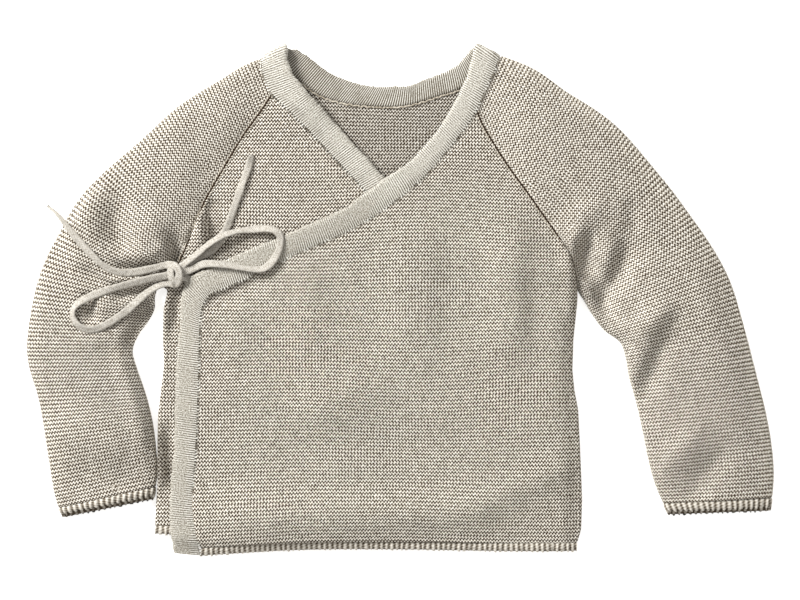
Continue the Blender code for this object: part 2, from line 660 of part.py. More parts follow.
# ---------------------------------------------------------------- ties

def tie(name, route):
    """A flat tie: a round tube along its route, pressed to the tie's thickness."""
    press = TIE_THICK / TIE_WIDTH
    points = through(route, 6.0) if len(route) > 3 else np.array(route)
    data = bpy.data.curves.new(name, "CURVE")
    data.dimensions = "3D"
    data.bevel_depth = TIE_WIDTH / 2.0 * MM
    data.bevel_resolution = 2
    data.use_fill_caps = True
    spline = data.splines.new("POLY")
    spline.points.add(len(points) - 1)
    for point, (x, y, z) in zip(spline.points, points):
        point.co = (x * MM, y * MM, z * MM / press, 1.0)
    made = add_object(name, data, "tie_cotton")
    made.scale = (1.0, 1.0, press)
    return made


def bow():
    """The bow at the wearer's right, on the band's corner: two loops, two tails, a lead and the knot."""
    tie("tie_loop_inner", LOOP_INNER)
    tie("tie_loop_outer", LOOP_OUTER)
    tie("tie_tail_upper", TAIL_UPPER)
    tie("tie_tail_outer", TAIL_OUTER)
    tie("tie_lead_side", LEAD_SIDE)
    bm = bmesh.new()
    bmesh.ops.create_uvsphere(bm, u_segments=14, v_segments=8, radius=0.5)
    bmesh.ops.scale(bm, vec=KNOT_SIZE, verts=bm.verts)
    knot = add_mesh("bow_knot", bm, "tie_cotton")
    knot.rotation_euler = (0.0, 0.0, math.radians(KNOT_TURN))
    knot.location = [value * MM for value in KNOT_CENTRE]


def main():
    start_scene()
    build_garment()
    bow()


if __name__ == "__main__":
    main()
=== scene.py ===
"""Dresses the baby wrap cardigan: garter skins, folded band, ribbed trims, seams, ties and the stage."""
import math

import bpy
import numpy as np
from bpy.props import FloatProperty, FloatVectorProperty, PointerProperty
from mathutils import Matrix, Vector
from mathutils.geometry import delaunay_2d_cdt


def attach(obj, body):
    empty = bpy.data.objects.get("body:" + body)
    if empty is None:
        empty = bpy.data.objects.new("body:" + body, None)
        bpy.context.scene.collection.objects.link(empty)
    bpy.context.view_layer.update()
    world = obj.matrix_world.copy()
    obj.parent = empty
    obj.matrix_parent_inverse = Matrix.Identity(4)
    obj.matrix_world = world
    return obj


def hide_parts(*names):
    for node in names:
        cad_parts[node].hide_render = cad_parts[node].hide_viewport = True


bl_info = {
    "name": "Baby wrap cardigan",
    "version": (1, 0, 0),
    "blender": (4, 5, 0),
    "location": "View3D > Sidebar > Cardigan",
    "description": "Knitted skins, band, trims, seams and ties of a baby cardigan laid flat",
    "category": "Object",
}

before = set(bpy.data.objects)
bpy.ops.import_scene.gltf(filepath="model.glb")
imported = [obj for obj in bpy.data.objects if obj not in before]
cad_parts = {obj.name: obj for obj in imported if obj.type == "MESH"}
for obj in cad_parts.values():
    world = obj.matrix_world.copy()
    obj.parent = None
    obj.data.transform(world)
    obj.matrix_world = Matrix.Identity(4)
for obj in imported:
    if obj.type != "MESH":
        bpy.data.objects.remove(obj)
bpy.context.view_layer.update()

MM = 0.001
TAU = 2.0 * math.pi
UP = np.array([0.0, 0.0, 1.0])

# Sizes in millimetres that the solids have too
WALL = 2.2                # thickness of the knitted cloth
BAND = 3.2                # thickness of the folded band
GAP = 0.3                 # air between two layers
AIR = 1.3                 # how far the fronts stand off the back, away from the side seams
SIDE_RISE = 25.0          # the run over which they come up to that
STEP_RUN = 14.0           # the run over which the left front comes down off the right front's band
STEP_LAP = 2.5            # how far beyond that band the run starts
HEM_DROOP = 0.40          # share of its height that the left front loses where it hangs past the hem beneath
HEM_RUN = 9.0
FOLD_R = 3.4              # radius of a sleeve's folded edges
BULGE = 3.8               # how far the middle of a sleeve stands above them
FULL_WIDTH = 62.0         # width from which a sleeve has its full bulge
TRIM = 5.0                # height of the ribbed trims
CUFF_STEP = 2.6           # how far a cuff's lower layer comes out beyond the upper one

# How fine the meshes are
ROWS_PER_RIDGE = 4        # rows of points that draw one garter ridge
POINTS_PER_STITCH = 2
BAND_POINTS = 3           # points along one rib of the band
TRIM_POINTS = 6           # points along one rib of a trim
TAPE_STEP = 0.6           # millimetres between two sections of a tie or thread

# How uneven the knitting is, in half stitches and quarter ridges
LOOP_LEAN = 0.26          # loops leaning along their row, in slow waves over the cloth
ROW_DRIFT = 0.20          # the same for each row by itself
STRAY = (0.10, 0.16)      # single loops out of place along their row and across it
STRAY_HEIGHT = 0.22       # share by which single loops stand higher or lower

SEAM_GROOVE = 0.9         # how deep a raglan seam sinks in, and half the width of its groove
GROOVE_WIDTH = 1.3
BAND_WIDTH = 15.0
EDGE_STITCH = 1.9         # width of a stitch on the plain edges
HEM_LEVEL = -150.0        # mean height of the hem in the view
SHOWN_MARGIN = 3.0        # how far relief goes on below an edge that covers it

SLEEVE_RIGHT = [          # inner x, inner y, outer x, outer y, from the cuff to the neck, in millimetres
    (-147.6, -117.3, -204.0, -128.7),
    (-145.8, -105.3, -207.6, -119.7),
    (-146.4, -91.5, -210.0, -104.7),
    (-148.8, -72.9, -213.6, -81.9),
    (-153.0, -56.1, -217.2, -59.7),
    (-158.4, -40.5, -223.2, -41.7),
    (-160.8, -30.9, -225.0, -30.9),
    (-157.2, -21.3, -223.8, -18.9),
    (-151.2, -12.9, -222.0, -6.3),
    (-147.6, -5.7, -219.0, 8.1),
    (-147.2, 2.2, -213.6, 24.3),
    (-144.2, 9.2, -205.8, 38.1),
    (-135.0, 17.7, -196.8, 56.1),
    (-130.2, 27.3, -184.2, 71.1),
    (-126.0, 36.9, -171.6, 82.5),
    (-121.8, 46.5, -160.2, 92.1),
    (-118.2, 56.7, -150.0, 101.1),
    (-112.8, 66.9, -139.2, 111.9),
    (-105.0, 80.1, -126.0, 121.5),
    (-97.2, 93.3, -114.0, 128.7),
    (-90.0, 104.1, -103.8, 134.7),
    (-82.8, 113.7, -95.4, 140.7),
    (-77.4, 121.7, -86.4, 144.2),
]
SLEEVE_LEFT = [
    (160.2, -126.9, 223.2, -124.5),
    (154.2, -113.7, 225.0, -108.3),
    (149.4, -97.5, 223.8, -89.7),
    (145.8, -79.5, 220.8, -71.1),
    (141.6, -60.9, 216.0, -51.3),
    (137.4, -45.9, 211.8, -35.1),
    (135.6, -35.1, 208.2, -20.7),
    (132.0, -25.5, 204.0, -6.3),
    (123.0, -18.9, 200.4, 6.9),
    (116.4, -10.5, 193.8, 21.3),
    (111.0, -1.5, 184.8, 36.3),
    (106.2, 6.9, 174.0, 51.3),
    (104.4, 18.9, 163.2, 66.3),
    (102.0, 26.7, 154.2, 77.1),
    (97.8, 33.9, 145.2, 87.9),
    (92.4, 41.7, 135.6, 99.3),
    (84.6, 52.5, 123.6, 110.1),
    (76.2, 64.5, 111.0, 118.5),
    (66.6, 77.7, 97.8, 126.3),
    (57.6, 91.5, 85.2, 136.5),
    (49.8, 104.7, 71.4, 143.1),
    (46.4, 112.2, 62.0, 146.4),
]
UNDERARM = 11
BACK_NECK_RIGHT = (-79.5, 139.0)
BACK_NECK_LEFT = (56.0, 140.2)
BAND_RIGHT = [            # seam x, seam y, free x, free y, from the shoulder to the hem
    (-82.5, 137.7, -68.0, 144.9),
    (-79.5, 129.3, -64.6, 135.9),
    (-75.4, 122.1, -60.0, 130.0),
    (-66.6, 113.9, -54.8, 123.9),
    (-51.6, 98.7, -42.0, 109.3),
    (-36.0, 81.9, -25.8, 91.5),
    (-19.8, 65.1, -9.0, 73.5),
    (-4.8, 51.3, 4.2, 61.5),
    (16.8, 36.9, 24.0, 48.3),
    (46.8, 23.1, 52.8, 36.3),
    (69.0, 14.1, 76.8, 27.3),
    (78.0, 3.3, 91.8, 15.3),
    (79.2, -11.1, 93.6, -3.9),
    (79.2, -60.3, 93.6, -60.3),
    (79.2, -149.7, 93.6, -149.7),
]
BAND_LEFT = [
    (57.0, 138.3, 43.2, 143.7),
    (51.6, 127.5, 39.0, 132.3),
    (45.6, 113.7, 33.6, 120.3),
    (36.0, 99.3, 25.8, 106.5),
    (25.8, 86.7, 16.2, 93.9),
    (15.0, 74.7, 5.4, 82.5),
    (0.0, 61.5, -8.4, 72.9),
    (-25.8, 44.1, -33.6, 54.9),
    (-56.4, 30.3, -61.8, 41.7),
    (-90.0, 14.1, -96.0, 27.3),
    (-105.6, 6.9, -112.8, 19.5),
    (-112.8, 3.9, -121.8, 15.9),
    (-116.4, 0.3, -128.4, 10.5),
    (-118.8, -5.7, -130.8, 1.5),
    (-120.0, -18.3, -132.6, -17.1),
    (-120.6, -43.5, -134.4, -43.5),
    (-122.4, -89.7, -135.3, -89.7),
    (-124.2, -120.3, -138.0, -120.3),
    (-122.4, -138.3, -137.4, -139.5),
    (-120.0, -153.9, -135.6, -152.7),
]
BAND_BACK = [             # behind the neck, from the right shoulder to the left
    (-74.4, 139.5, -61.8, 150.6),
    (-63.0, 133.5, -54.6, 145.5),
    (-57.6, 129.3, -49.2, 141.3),
    (-49.8, 123.9, -42.0, 136.5),
    (-40.2, 120.0, -32.4, 132.3),
    (-27.0, 117.3, -20.4, 128.7),
    (-12.0, 116.1, -9.0, 127.8),
    (1.2, 116.4, 1.2, 128.1),
    (12.0, 118.8, 9.6, 130.5),
    (24.0, 122.7, 20.4, 134.4),
    (36.6, 126.9, 31.8, 139.2),
    (46.8, 133.5, 37.8, 144.9),
    (54.0, 140.1, 42.0, 149.7),
]
SHOULDER_RIGHT = (-85.2, 145.5, -69.4, 154.6)
SHOULDER_LEFT = (60.6, 147.3, 46.2, 155.0)
SIDE_RIGHT = [(-139.2, 5.7), (-141.6, -6.3), (-142.2, -24.3), (-141.6, -39.3), (-143.4, -54.3),
              (-145.2, -69.3), (-145.2, -108.3), (-146.4, -123.3), (-147.0, -140.7)]
SIDE_LEFT = [(106.2, -0.3), (105.0, -12.3), (103.8, -24.3), (103.2, -42.3), (104.4, -54.3),
             (106.8, -66.3), (108.0, -90.3), (109.2, -120.3), (108.6, -138.3), (106.2, -150.3)]
OVER_HEM = [(-119.4, -153.9), (-60.0, -150.3), (0.0, -149.7), (60.0, -150.6), (106.2, -150.9)]
SLEEVE_FOLDS = [          # x0, y0, x1, y1, height, half-width: the cloth's larger folds and swells
    (107.0, 20.0, 114.0, 36.0, -2.2, 5.0),
    (131.0, 15.0, 139.0, 50.0, -0.9, 6.0),
    (143.0, -27.0, 163.0, -12.0, -1.4, 6.0),
    (146.0, -58.0, 153.0, -44.0, -1.0, 5.0),
    (-136.0, 24.0, -139.0, 37.0, -1.8, 5.0),
    (-150.0, 22.0, -186.0, 16.0, -1.4, 7.0),
    (-158.0, -22.0, -172.0, -14.0, -1.2, 6.0),
]
FRONT_SWELLS = [
    (-60.0, 5.0, -35.0, -95.0, 1.2, 17.0),
    (15.0, 25.0, 30.0, -70.0, 0.9, 19.0),
    (75.0, 60.0, 66.0, -20.0, 1.0, 15.0),
    (-90.0, -60.0, -80.0, -130.0, 0.8, 15.0),
    (60.0, -70.0, 40.0, -130.0, 0.8, 18.0),
]

# Creases that only the skins have: height, half-width, then the points of a line that fades out at both ends
OVER_CREASES = [
    (2.4, 14.0, [(4.0, 64.0), (4.0, 10.0), (0.0, -60.0)]),
    (0.8, 8.5, [(17.5, 66.0), (17.5, 10.0), (14.0, -34.0), (4.0, -70.0)]),
    (-0.7, 8.0, [(29.5, 60.0), (29.0, 10.0), (26.0, -30.0), (14.0, -66.0)]),
    (3.0, 14.0, [(62.0, 66.0), (63.0, 10.0), (60.0, -56.0)]),
    (0.9, 6.5, [(69.0, 66.0), (70.0, 16.0), (70.0, -50.0)]),
    (-0.6, 6.5, [(80.0, 60.0), (80.5, 10.0), (79.0, -46.0)]),
    (1.8, 7.0, [(92.0, 30.0), (93.0, -10.0), (92.0, -50.0), (90.0, -86.0)]),
    (1.8, 8.0, [(-54.0, 30.0), (-55.0, 6.0), (-56.0, -40.0)]),
    (2.4, 13.0, [(-92.0, -84.0), (-56.0, -70.0), (-28.0, -56.0), (6.0, -46.0)]),
    (2.6, 9.0, [(46.0, 25.0), (72.0, 20.0), (94.0, 14.0), (114.0, 5.0)]),
    (1.8, 12.0, [(-122.0, -48.0), (-96.0, -56.0), (-64.0, -60.0)]),
    (-1.8, 11.0, [(-100.0, -80.0), (-50.0, -84.0), (20.0, -84.0), (70.0, -80.0)]),
    (7.5, 14.0, [(-150.0, -129.0), (-50.0, -129.0), (30.0, -128.0), (90.0, -132.0)]),
    (3.2, 10.0, [(20.0, -130.0), (54.0, -119.0), (84.0, -107.0), (116.0, -94.0)]),
    (3.8, 5.0, [(94.0, 46.0), (100.0, 27.0), (102.0, 12.0), (102.5, -4.0), (102.0, -22.0)]),
    (-2.2, 7.0, [(-124.0, -4.0), (-105.0, 2.0), (-74.0, 16.0)]),
    (1.6, 9.0, [(-100.0, 0.0), (-96.0, -22.0), (-102.0, -44.0)]),
]
UNDER_CREASES = [
    (6.2, 5.2, [(-126.0, 60.0), (-121.0, 46.0), (-118.5, 26.0)]),
    (-5.0, 5.2, [(-114.0, 64.0), (-110.5, 47.0), (-110.0, 26.0)]),
    (2.6, 3.2, [(-139.0, 20.0), (-140.0, 4.0), (-141.3, -8.0), (-142.0, -26.0)]),
    (-2.0, 3.0, [(-132.5, 20.0), (-133.5, 4.0), (-134.5, -8.0), (-136.0, -22.0)]),
    (0.9, 3.2, [(-139.5, 8.0), (-141.5, -14.0), (-142.0, -40.0), (-144.5, -70.0)]),
    (4.4, 3.6, [(-146.5, -66.0), (-146.5, -84.0), (-145.5, -100.0), (-145.0, -120.0)]),
    (-2.6, 3.4, [(-138.5, -66.0), (-138.5, -84.0), (-138.0, -100.0), (-138.0, -120.0)]),
]
SLEEVE_CREASES = [
    (3.6, 5.0, [(113.0, 47.0), (106.5, 40.0), (102.0, 31.0), (99.5, 19.0)]),
    (-3.8, 5.0, [(117.0, 38.0), (112.0, 31.0), (110.5, 22.0), (112.0, 9.0)]),
    (-6.4, 5.8, [(107.0, 40.0), (111.0, 28.0), (116.5, 15.0), (121.0, 3.0), (125.5, -9.0), (132.0, -21.0)]),
    (1.6, 5.4, [(131.0, 38.0), (126.5, 29.0), (121.0, 15.0), (117.5, 3.5), (114.5, -10.0)]),
    (-3.8, 6.6, [(140.0, 38.0), (134.5, 24.0), (127.5, 9.5), (122.0, -2.5), (118.0, -14.0)]),
    (-2.0, 13.0, [(146.0, 52.0), (140.0, 32.0), (134.0, 14.0), (128.0, -4.0)]),
    (6.2, 11.0, [(171.0, 4.0), (155.5, -10.0), (145.0, -23.0), (139.0, -38.0), (135.0, -54.0),
                 (132.0, -66.0)]),
    (-3.4, 7.0, [(170.0, -12.0), (161.5, -21.0), (155.0, -32.0), (149.5, -44.0), (144.5, -58.0),
                 (142.0, -72.0)]),
    (-1.0, 5.0, [(137.0, 64.0), (139.5, 52.0), (143.0, 38.0)]),
    (1.8, 12.0, [(146.0, -66.0), (160.0, -88.0), (182.0, -106.0)]),
    (2.6, 8.0, [(144.0, -114.0), (160.0, -98.0), (176.0, -80.0), (186.0, -66.0)]),
    (-2.4, 8.0, [(162.0, -130.0), (178.0, -112.0), (192.0, -94.0), (202.0, -78.0)]),
    (2.2, 8.0, [(88.0, 32.0), (101.0, 43.0), (112.0, 51.5), (128.0, 59.0)]),
    (2.8, 14.0, [(160.0, 62.0), (174.0, 30.0), (188.0, -12.0), (200.0, -60.0), (206.0, -96.0)]),
    (4.8, 12.0, [(-170.0, 4.0), (-154.0, 24.0), (-147.0, 42.0), (-139.0, 60.0)]),
    (3.8, 4.6, [(-146.0, 44.0), (-142.5, 36.0), (-141.0, 26.0), (-142.0, 8.0)]),
    (1.6, 5.0, [(-184.0, 32.0), (-166.0, 29.0), (-146.0, 31.0)]),
    (6.8, 10.0, [(-182.0, 82.0), (-187.0, 66.0), (-190.0, 50.0), (-188.0, 35.0), (-180.0, 20.0),
                 (-164.0, 10.0), (-140.0, 6.0)]),
    (-5.0, 8.0, [(-164.0, 78.0), (-168.0, 64.0), (-169.5, 48.0), (-167.0, 34.0), (-158.0, 23.0),
                 (-145.0, 18.0), (-126.0, 17.0)]),
    (-5.4, 4.4, [(-196.0, 26.0), (-184.0, 15.0), (-174.0, 8.5), (-162.0, 5.5), (-150.0, 5.0)]),
    (1.6, 6.0, [(-198.0, -20.0), (-184.0, -25.0), (-168.0, -19.0), (-154.0, -6.0)]),
    (3.4, 4.5, [(-178.0, 30.0), (-166.0, 26.0), (-156.0, 24.5), (-144.0, 26.0), (-132.0, 33.0)]),
    (-4.8, 4.5, [(-188.0, 8.0), (-185.5, -5.0), (-185.5, -18.0)]),
    (-4.0, 4.2, [(-176.0, 0.0), (-160.0, 4.5), (-144.0, 9.0)]),
    (-6.6, 4.4, [(-134.0, 42.0), (-134.0, 34.0), (-133.0, 24.0), (-134.0, 4.0)]),
    (-4.2, 3.6, [(-182.0, 20.5), (-158.0, 18.0), (-134.0, 20.0)]),
    (-6.2, 6.0, [(-144.0, 18.0), (-148.0, 1.0), (-153.0, -12.0), (-158.0, -24.0), (-161.0, -40.0)]),
    (4.2, 5.2, [(-163.0, -12.0), (-167.5, -30.0), (-165.0, -41.0), (-160.0, -56.0), (-155.5, -73.0),
                (-153.0, -91.0), (-151.5, -110.0)]),
    (1.6, 4.0, [(-127.0, 46.0), (-128.5, 36.0), (-131.5, 27.0)]),
    (1.5, 9.0, [(-200.0, -8.0), (-184.0, -7.0), (-166.0, 0.0), (-148.0, 8.0)]),
    (-1.8, 10.0, [(-134.0, 106.0), (-118.0, 86.0), (-106.0, 66.0)]),
    (3.0, 13.0, [(-214.0, -66.0), (-196.0, -74.0), (-172.0, -86.0), (-152.0, -96.0)]),
    (-3.0, 11.0, [(-206.0, -98.0), (-184.0, -106.0), (-150.0, -116.0)]),
    (1.8, 12.0, [(-212.0, 22.0), (-216.0, 0.0), (-212.0, -24.0)]),
]
BAND_LIFTS = [            # where the free edge of the band stands up a little
    (1.3, 15.0, [(-78.0, 160.0), (-66.0, 143.0), (-58.0, 126.0), (-34.0, 100.0)]),
    (1.3, 14.0, [(-112.0, 20.0), (-80.0, 34.0), (-40.0, 52.0), (-6.0, 76.0)]),
]
NECK_SWELLS = [           # the bulk of the seams lifts both fronts at the shoulders
    (-84.0, 150.0, -62.0, 122.0, 3.2, 15.0),
    (58.0, 152.0, 40.0, 118.0, 1.6, 13.0),
]

# Routes of the ties: the loops and tails as in the solids, then what joins them in the knot
LOOP_INNER = [
    (-128.0, 21.9, 10.4), (-122.5, 26.2, 10.2), (-113.5, 33.6, 10.8), (-105.5, 38.3, 10.9),
    (-98.0, 40.6, 9.6), (-90.0, 41.7, 8.6), (-81.5, 42.3, 9.6), (-75.4, 41.6, 11.4),
    (-71.6, 38.6, 12.0), (-71.4, 33.9, 12.1), (-73.0, 27.6, 12.1), (-76.8, 21.9, 12.1),
    (-80.8, 18.6, 12.0), (-86.0, 17.9, 12.0), (-94.0, 18.9, 12.0), (-102.0, 20.3, 12.1),
    (-110.5, 21.3, 12.0), (-117.5, 21.2, 10.6), (-123.0, 18.9, 9.4),
]
LOOP_OUTER = [
    (-139.4, 14.4, 10.0), (-146.5, 13.2, 10.3), (-153.5, 11.4, 10.8), (-162.0, 9.2, 11.3),
    (-170.4, 6.9, 11.7), (-178.5, 4.3, 11.9), (-186.0, 1.2, 12.0), (-191.8, -2.0, 12.0),
    (-195.2, -6.0, 11.9), (-195.3, -10.8, 11.9), (-192.2, -15.4, 12.0), (-187.0, -18.0, 12.0),
    (-180.8, -17.4, 11.8), (-173.5, -13.8, 11.3), (-167.0, -9.6, 10.9), (-160.5, -4.4, 10.7),
    (-154.8, 1.0, 10.2), (-149.0, 5.6, 9.5), (-142.5, 9.0, 8.8),
]
TAIL_UPPER = [
    (-122.4, 24.5, 7.5), (-117.0, 27.0, 7.3), (-111.6, 30.4, 7.3), (-107.6, 36.2, 7.4),
    (-104.6, 41.2, 7.4), (-102.2, 46.8, 7.3), (-100.0, 53.4, 7.2), (-97.7, 60.0, 7.2),
    (-95.3, 67.0, 7.2), (-92.8, 74.0, 7.2), (-90.6, 80.4, 7.2), (-88.7, 86.8, 7.2),
]
TAIL_OUTER = [
    (-139.4, 20.6, 9.0), (-146.0, 19.0, 9.5), (-152.5, 17.5, 10.0), (-159.0, 16.3, 10.6),
    (-166.0, 16.0, 11.0), (-172.5, 17.6, 11.1), (-178.5, 21.2, 11.3), (-184.0, 26.6, 11.4),
    (-189.5, 32.4, 11.1), (-194.6, 38.3, 10.5), (-199.4, 44.0, 9.4), (-203.8, 49.2, 7.2),
    (-207.6, 52.9, 4.4), (-211.6, 56.0, 1.8),
]
LEAD_CORNER = [(-124.6, 11.4, 8.4), (-127.4, 12.6, 8.2), (-131.0, 14.6, 8.3), (-132.0, 18.6, 9.2)]
CORNER_THROUGH = [(-127.6, 17.2, 10.2), (-132.4, 17.6, 10.8), (-136.4, 19.6, 10.2)]
LEAD_IN = [(-143.4, 20.4, 6.0)]
SIDE_WRAP = [(-137.4, 20.8, 10.8), (-133.8, 19.9, 13.2), (-131.8, 17.2, 13.9), (-131.5, 13.8, 13.7),
             (-132.6, 10.4, 12.4), (-135.0, 9.2, 9.6), (-138.4, 9.8, 8.4)]
SIDE_THROUGH = [(-131.0, 18.4, 8.7)]
KNOT_STRAND = [            # the part of the knot that the wrap crosses; both its ends lie inside the knot
    (-135.4, 20.8, 9.6), (-136.8, 18.2, 11.6), (-137.0, 14.8, 12.2), (-135.8, 11.4, 12.0),
    (-133.8, 8.6, 10.8), (-132.4, 7.8, 8.4),
]
CORNER_TURNS = [           # share of the tie's length and the tape's turn about its run, in degrees
    (0.0, 0), (0.06, -10), (0.12, -28), (0.22, -42), (0.30, -35), (0.34, 10), (0.40, 10), (0.45, 38),
    (0.52, 34), (0.57, 10), (0.62, -8), (0.72, -15), (0.80, -20), (0.88, 12), (0.93, 38), (1.0, 65),
]
SIDE_TURNS = [
    (0.0, 0), (0.03, 0), (0.06, 8), (0.09, 8), (0.12, 15), (0.20, 8), (0.30, 10), (0.34, -35), (0.40, -50),
    (0.44, -30), (0.50, 5), (0.56, 34), (0.62, 24), (0.68, -5), (0.78, 0), (0.84, 10), (0.92, -10), (1.0, 35),
]


def linear(code):
    """A linear colour from an sRGB hex value."""
    parts = [int(code[i:i + 2], 16) / 255.0 for i in (1, 3, 5)]
    return tuple(c / 12.92 if c <= 0.04045 else ((c + 0.055) / 1.055) ** 2.4 for c in parts)


# ---------------------------------------------------------------- sizes and colours that a user may change

def colour(name, code, words):
    return FloatVectorProperty(name=name, description=words, subtype="COLOR", size=3, min=0.0, max=1.0,
                               default=linear(code))


def millimetres(name, value, words):
    return FloatProperty(name=name, description=words, default=value * MM, min=0.0, subtype="DISTANCE",
                         unit="LENGTH")


class CARDIGAN_PG_garter(bpy.types.PropertyGroup):
    stitch: millimetres("Stitch", 1.9, "Width of one stitch along a row")
    ridge: millimetres("Ridge", 2.2, "Height of one garter ridge, which is two rows")
    relief: millimetres("Relief", 0.36, "Height of a ridge above the mean surface")
    wave: FloatProperty(name="Wave", default=0.08, min=0.0, max=0.2,
                        description="How much nearer than half a ridge its two rows of loops lie")
    high: colour("High", "#e9e5dc", "Colour of the loops that stand up")
    # The low colour is painted shade: it darkens the hollows between the loops
    low: colour("Low", "#2e1f0f", "Colour in the hollows between them")


class CARDIGAN_PG_band(bpy.types.PropertyGroup):
    rib: millimetres("Rib", 1.35, "Spacing of the fine ribs across the band")
    relief: millimetres("Relief", 0.17, "Height of a rib")
    high: colour("High", "#d8d6ce", "Colour of the ribs")
    # The low colour is painted shade in the hollows between the ribs
    low: colour("Low", "#5d574d", "Colour between the ribs")


class CARDIGAN_PG_trim(bpy.types.PropertyGroup):
    rib: millimetres("Rib", 3.1, "Spacing of the upright ribs at hem and cuffs")
    relief: millimetres("Relief", 0.6, "Height of a rib")
    high: colour("High", "#cfcac0", "Colour of the ribs")
    # The low colour is painted shade in the gaps between the ribs
    low: colour("Low", "#4e453a", "Colour between the ribs")


class CARDIGAN_PG_tie(bpy.types.PropertyGroup):
    width: millimetres("Width", 4.6, "Width of the flat-knitted tie")
    thickness: millimetres("Thickness", 1.8, "Thickness of the tie")
    high: colour("High", "#c4c1ba", "Colour of the tie")
    low: colour("Low", "#726c63", "Colour between its stitches")


class CARDIGAN_PG_stage(bpy.types.PropertyGroup):
    width: millimetres("View", 480.0, "Width of the field that the camera sees")
    floor: colour("Floor", "#f7f6f4", "Colour of the floor")


def sizes(group):
    return getattr(bpy.context.scene, "cardigan_" + group)


# ---------------------------------------------------------------- curves, distances and heights

def smooth(share):
    """From 0 to 1 with a soft start and end."""
    share = np.clip(share, 0.0, 1.0)
    return share * share * (3.0 - 2.0 * share)


def unit(vectors):
    return vectors / np.maximum(np.linalg.norm(vectors, axis=-1, keepdims=True), 1e-9)


def run_of(points):
    """The length along a line of points, from its start to each of them."""
    return np.concatenate([[0.0], np.cumsum(np.linalg.norm(np.diff(points, axis=0), axis=1))])


def read_at(rows, run, at):
    """Rows read at the lengths `at`, where `run` is the length at each given row."""
    return np.column_stack([np.interp(at, run, column) for column in rows.T])


def directions(line, up=UP):
    """Unit vectors ahead, to the left and up at each point of a line in space."""
    ahead = unit(np.gradient(line, axis=0))
    side = unit(np.cross(np.array(up), ahead))
    return ahead, side, np.cross(ahead, side)


def through(rows, spacing):
    """Rows read from a smooth curve through the given ones, about `spacing` apart; the given ones stay in."""
    rows = np.array(rows, float)
    run = run_of((rows[:, :2] + rows[:, 2:]) / 2.0 if rows.shape[1] == 4 else rows)
    slope = np.diff(rows, axis=0) / np.diff(run)[:, None]
    tangent = np.vstack([slope[:1], (slope[1:] + slope[:-1]) / 2.0, slope[-1:]])
    out = []
    for i in range(len(rows) - 1):
        span = run[i + 1] - run[i]
        count = max(1, int(round(span / spacing)))
        t = (np.arange(count) / count)[:, None]
        out.append((2 * t ** 3 - 3 * t ** 2 + 1) * rows[i] + (t ** 3 - 2 * t ** 2 + t) * span * tangent[i]
                   + (3 * t ** 2 - 2 * t ** 3) * rows[i + 1] + (t ** 3 - t ** 2) * span * tangent[i + 1])
    out.append(rows[-1:])
    return np.vstack(out)


def evened(points, spacing):
    """A polyline's points set evenly along it."""
    points = np.array(points, float)
    run = run_of(points)
    return read_at(points, run, np.linspace(0.0, run[-1], max(2, int(round(run[-1] / spacing)) + 1)))


def eased(rows, reach):
    """The same rows with the small corners in their run evened out; both ends stay where they are."""
    kernel = np.hanning(2 * reach + 1)
    padded = np.pad(rows, ((reach, reach), (0, 0)), mode="reflect", reflect_type="odd")
    return np.column_stack([np.convolve(column, kernel / kernel.sum(), "valid") for column in padded.T])


def nearest(line, x, y):
    """Each point's distance from a line, and how far along the line, from 0 to 1, the nearest place lies."""
    best, share = np.full(np.shape(x), 1e9), np.zeros(np.shape(x))
    for k, ((ax, ay), (bx, by)) in enumerate(zip(line[:-1], line[1:])):
        dx, dy = bx - ax, by - ay
        t = np.clip(((x - ax) * dx + (y - ay) * dy) / (dx ** 2 + dy ** 2), 0.0, 1.0)
        off = np.hypot(x - ax - t * dx, y - ay - t * dy)
        nearer = off < best
        best = np.where(nearer, off, best)
        share = np.where(nearer, (k + t) / (len(line) - 1), share)
    return best, share


def distance(line, x, y):
    return nearest(line, x, y)[0]


def inside(ring, x, y):
    hit = np.zeros(np.shape(x), bool)
    for (ax, ay), (bx, by) in zip(ring, np.roll(ring, -1, axis=0)):
        if ay != by:
            hit ^= ((ay > y) != (by > y)) & (x < ax + (y - ay) * (bx - ax) / (by - ay))
    return hit


def folds(table, x, y):
    """Sum of the straight folds and swells at each point."""
    total = np.zeros(np.shape(x))
    for x0, y0, x1, y1, height, width in table:
        total = total + height * np.exp(-(distance([(x0, y0), (x1, y1)], x, y) / width) ** 2)
    return total


def creases(table, x, y):
    """Sum of the creases at each point; each follows a smooth line and fades out at its ends."""
    total = np.zeros(np.shape(x))
    for height, width, points in table:
        line = through(points, 4.0)
        reach = np.ones(np.shape(x), bool)
        for place, row in ((x, line[:, 0]), (y, line[:, 1])):
            reach &= np.abs(place - row.mean()) < np.ptp(row) / 2.0 + 3.0 * width + 8.0
        off, share = nearest(line, x[reach], y[reach])
        fade = smooth(np.minimum(share, 1.0 - share) / 0.35)
        total[reach] += height * np.exp(-(off / width) ** 2) * fade
    return total


def pressed(x, y):
    """The height that the ties leave free above a point: they press the sleeve down where they lie on it."""
    below, flat, slope, reach = 1.1, 1.8, 0.8, 12.0
    ties = np.vstack([evened(through(route, 2.0), 1.0) for route in (LOOP_OUTER, TAIL_OUTER)])
    limit = np.full(np.shape(x), 99.0)
    near = (x < ties[:, 0].max() + reach) & (y > ties[:, 1].min() - reach) & (y < ties[:, 1].max() + reach)
    gap = np.hypot(x[near][:, None] - ties[:, 0], y[near][:, None] - ties[:, 1])
    limit[near] = (ties[:, 2] - below + slope * np.maximum(gap - flat, 0.0)).min(axis=1)
    return limit


UNDER_REGION = np.array([(r[2], r[3]) for r in BAND_RIGHT] + SIDE_RIGHT[::-1]
                        + [SHOULDER_RIGHT[:2], SHOULDER_RIGHT[2:]])


def under_level(x, y):
    """The height of the right front's lower face, and of the back of its sleeve's seam."""
    side = np.minimum(distance(SIDE_RIGHT, x, y), distance(SIDE_LEFT, x, y))
    return WALL + GAP + AIR * smooth(side / SIDE_RISE) + folds(NECK_SWELLS, x, y)


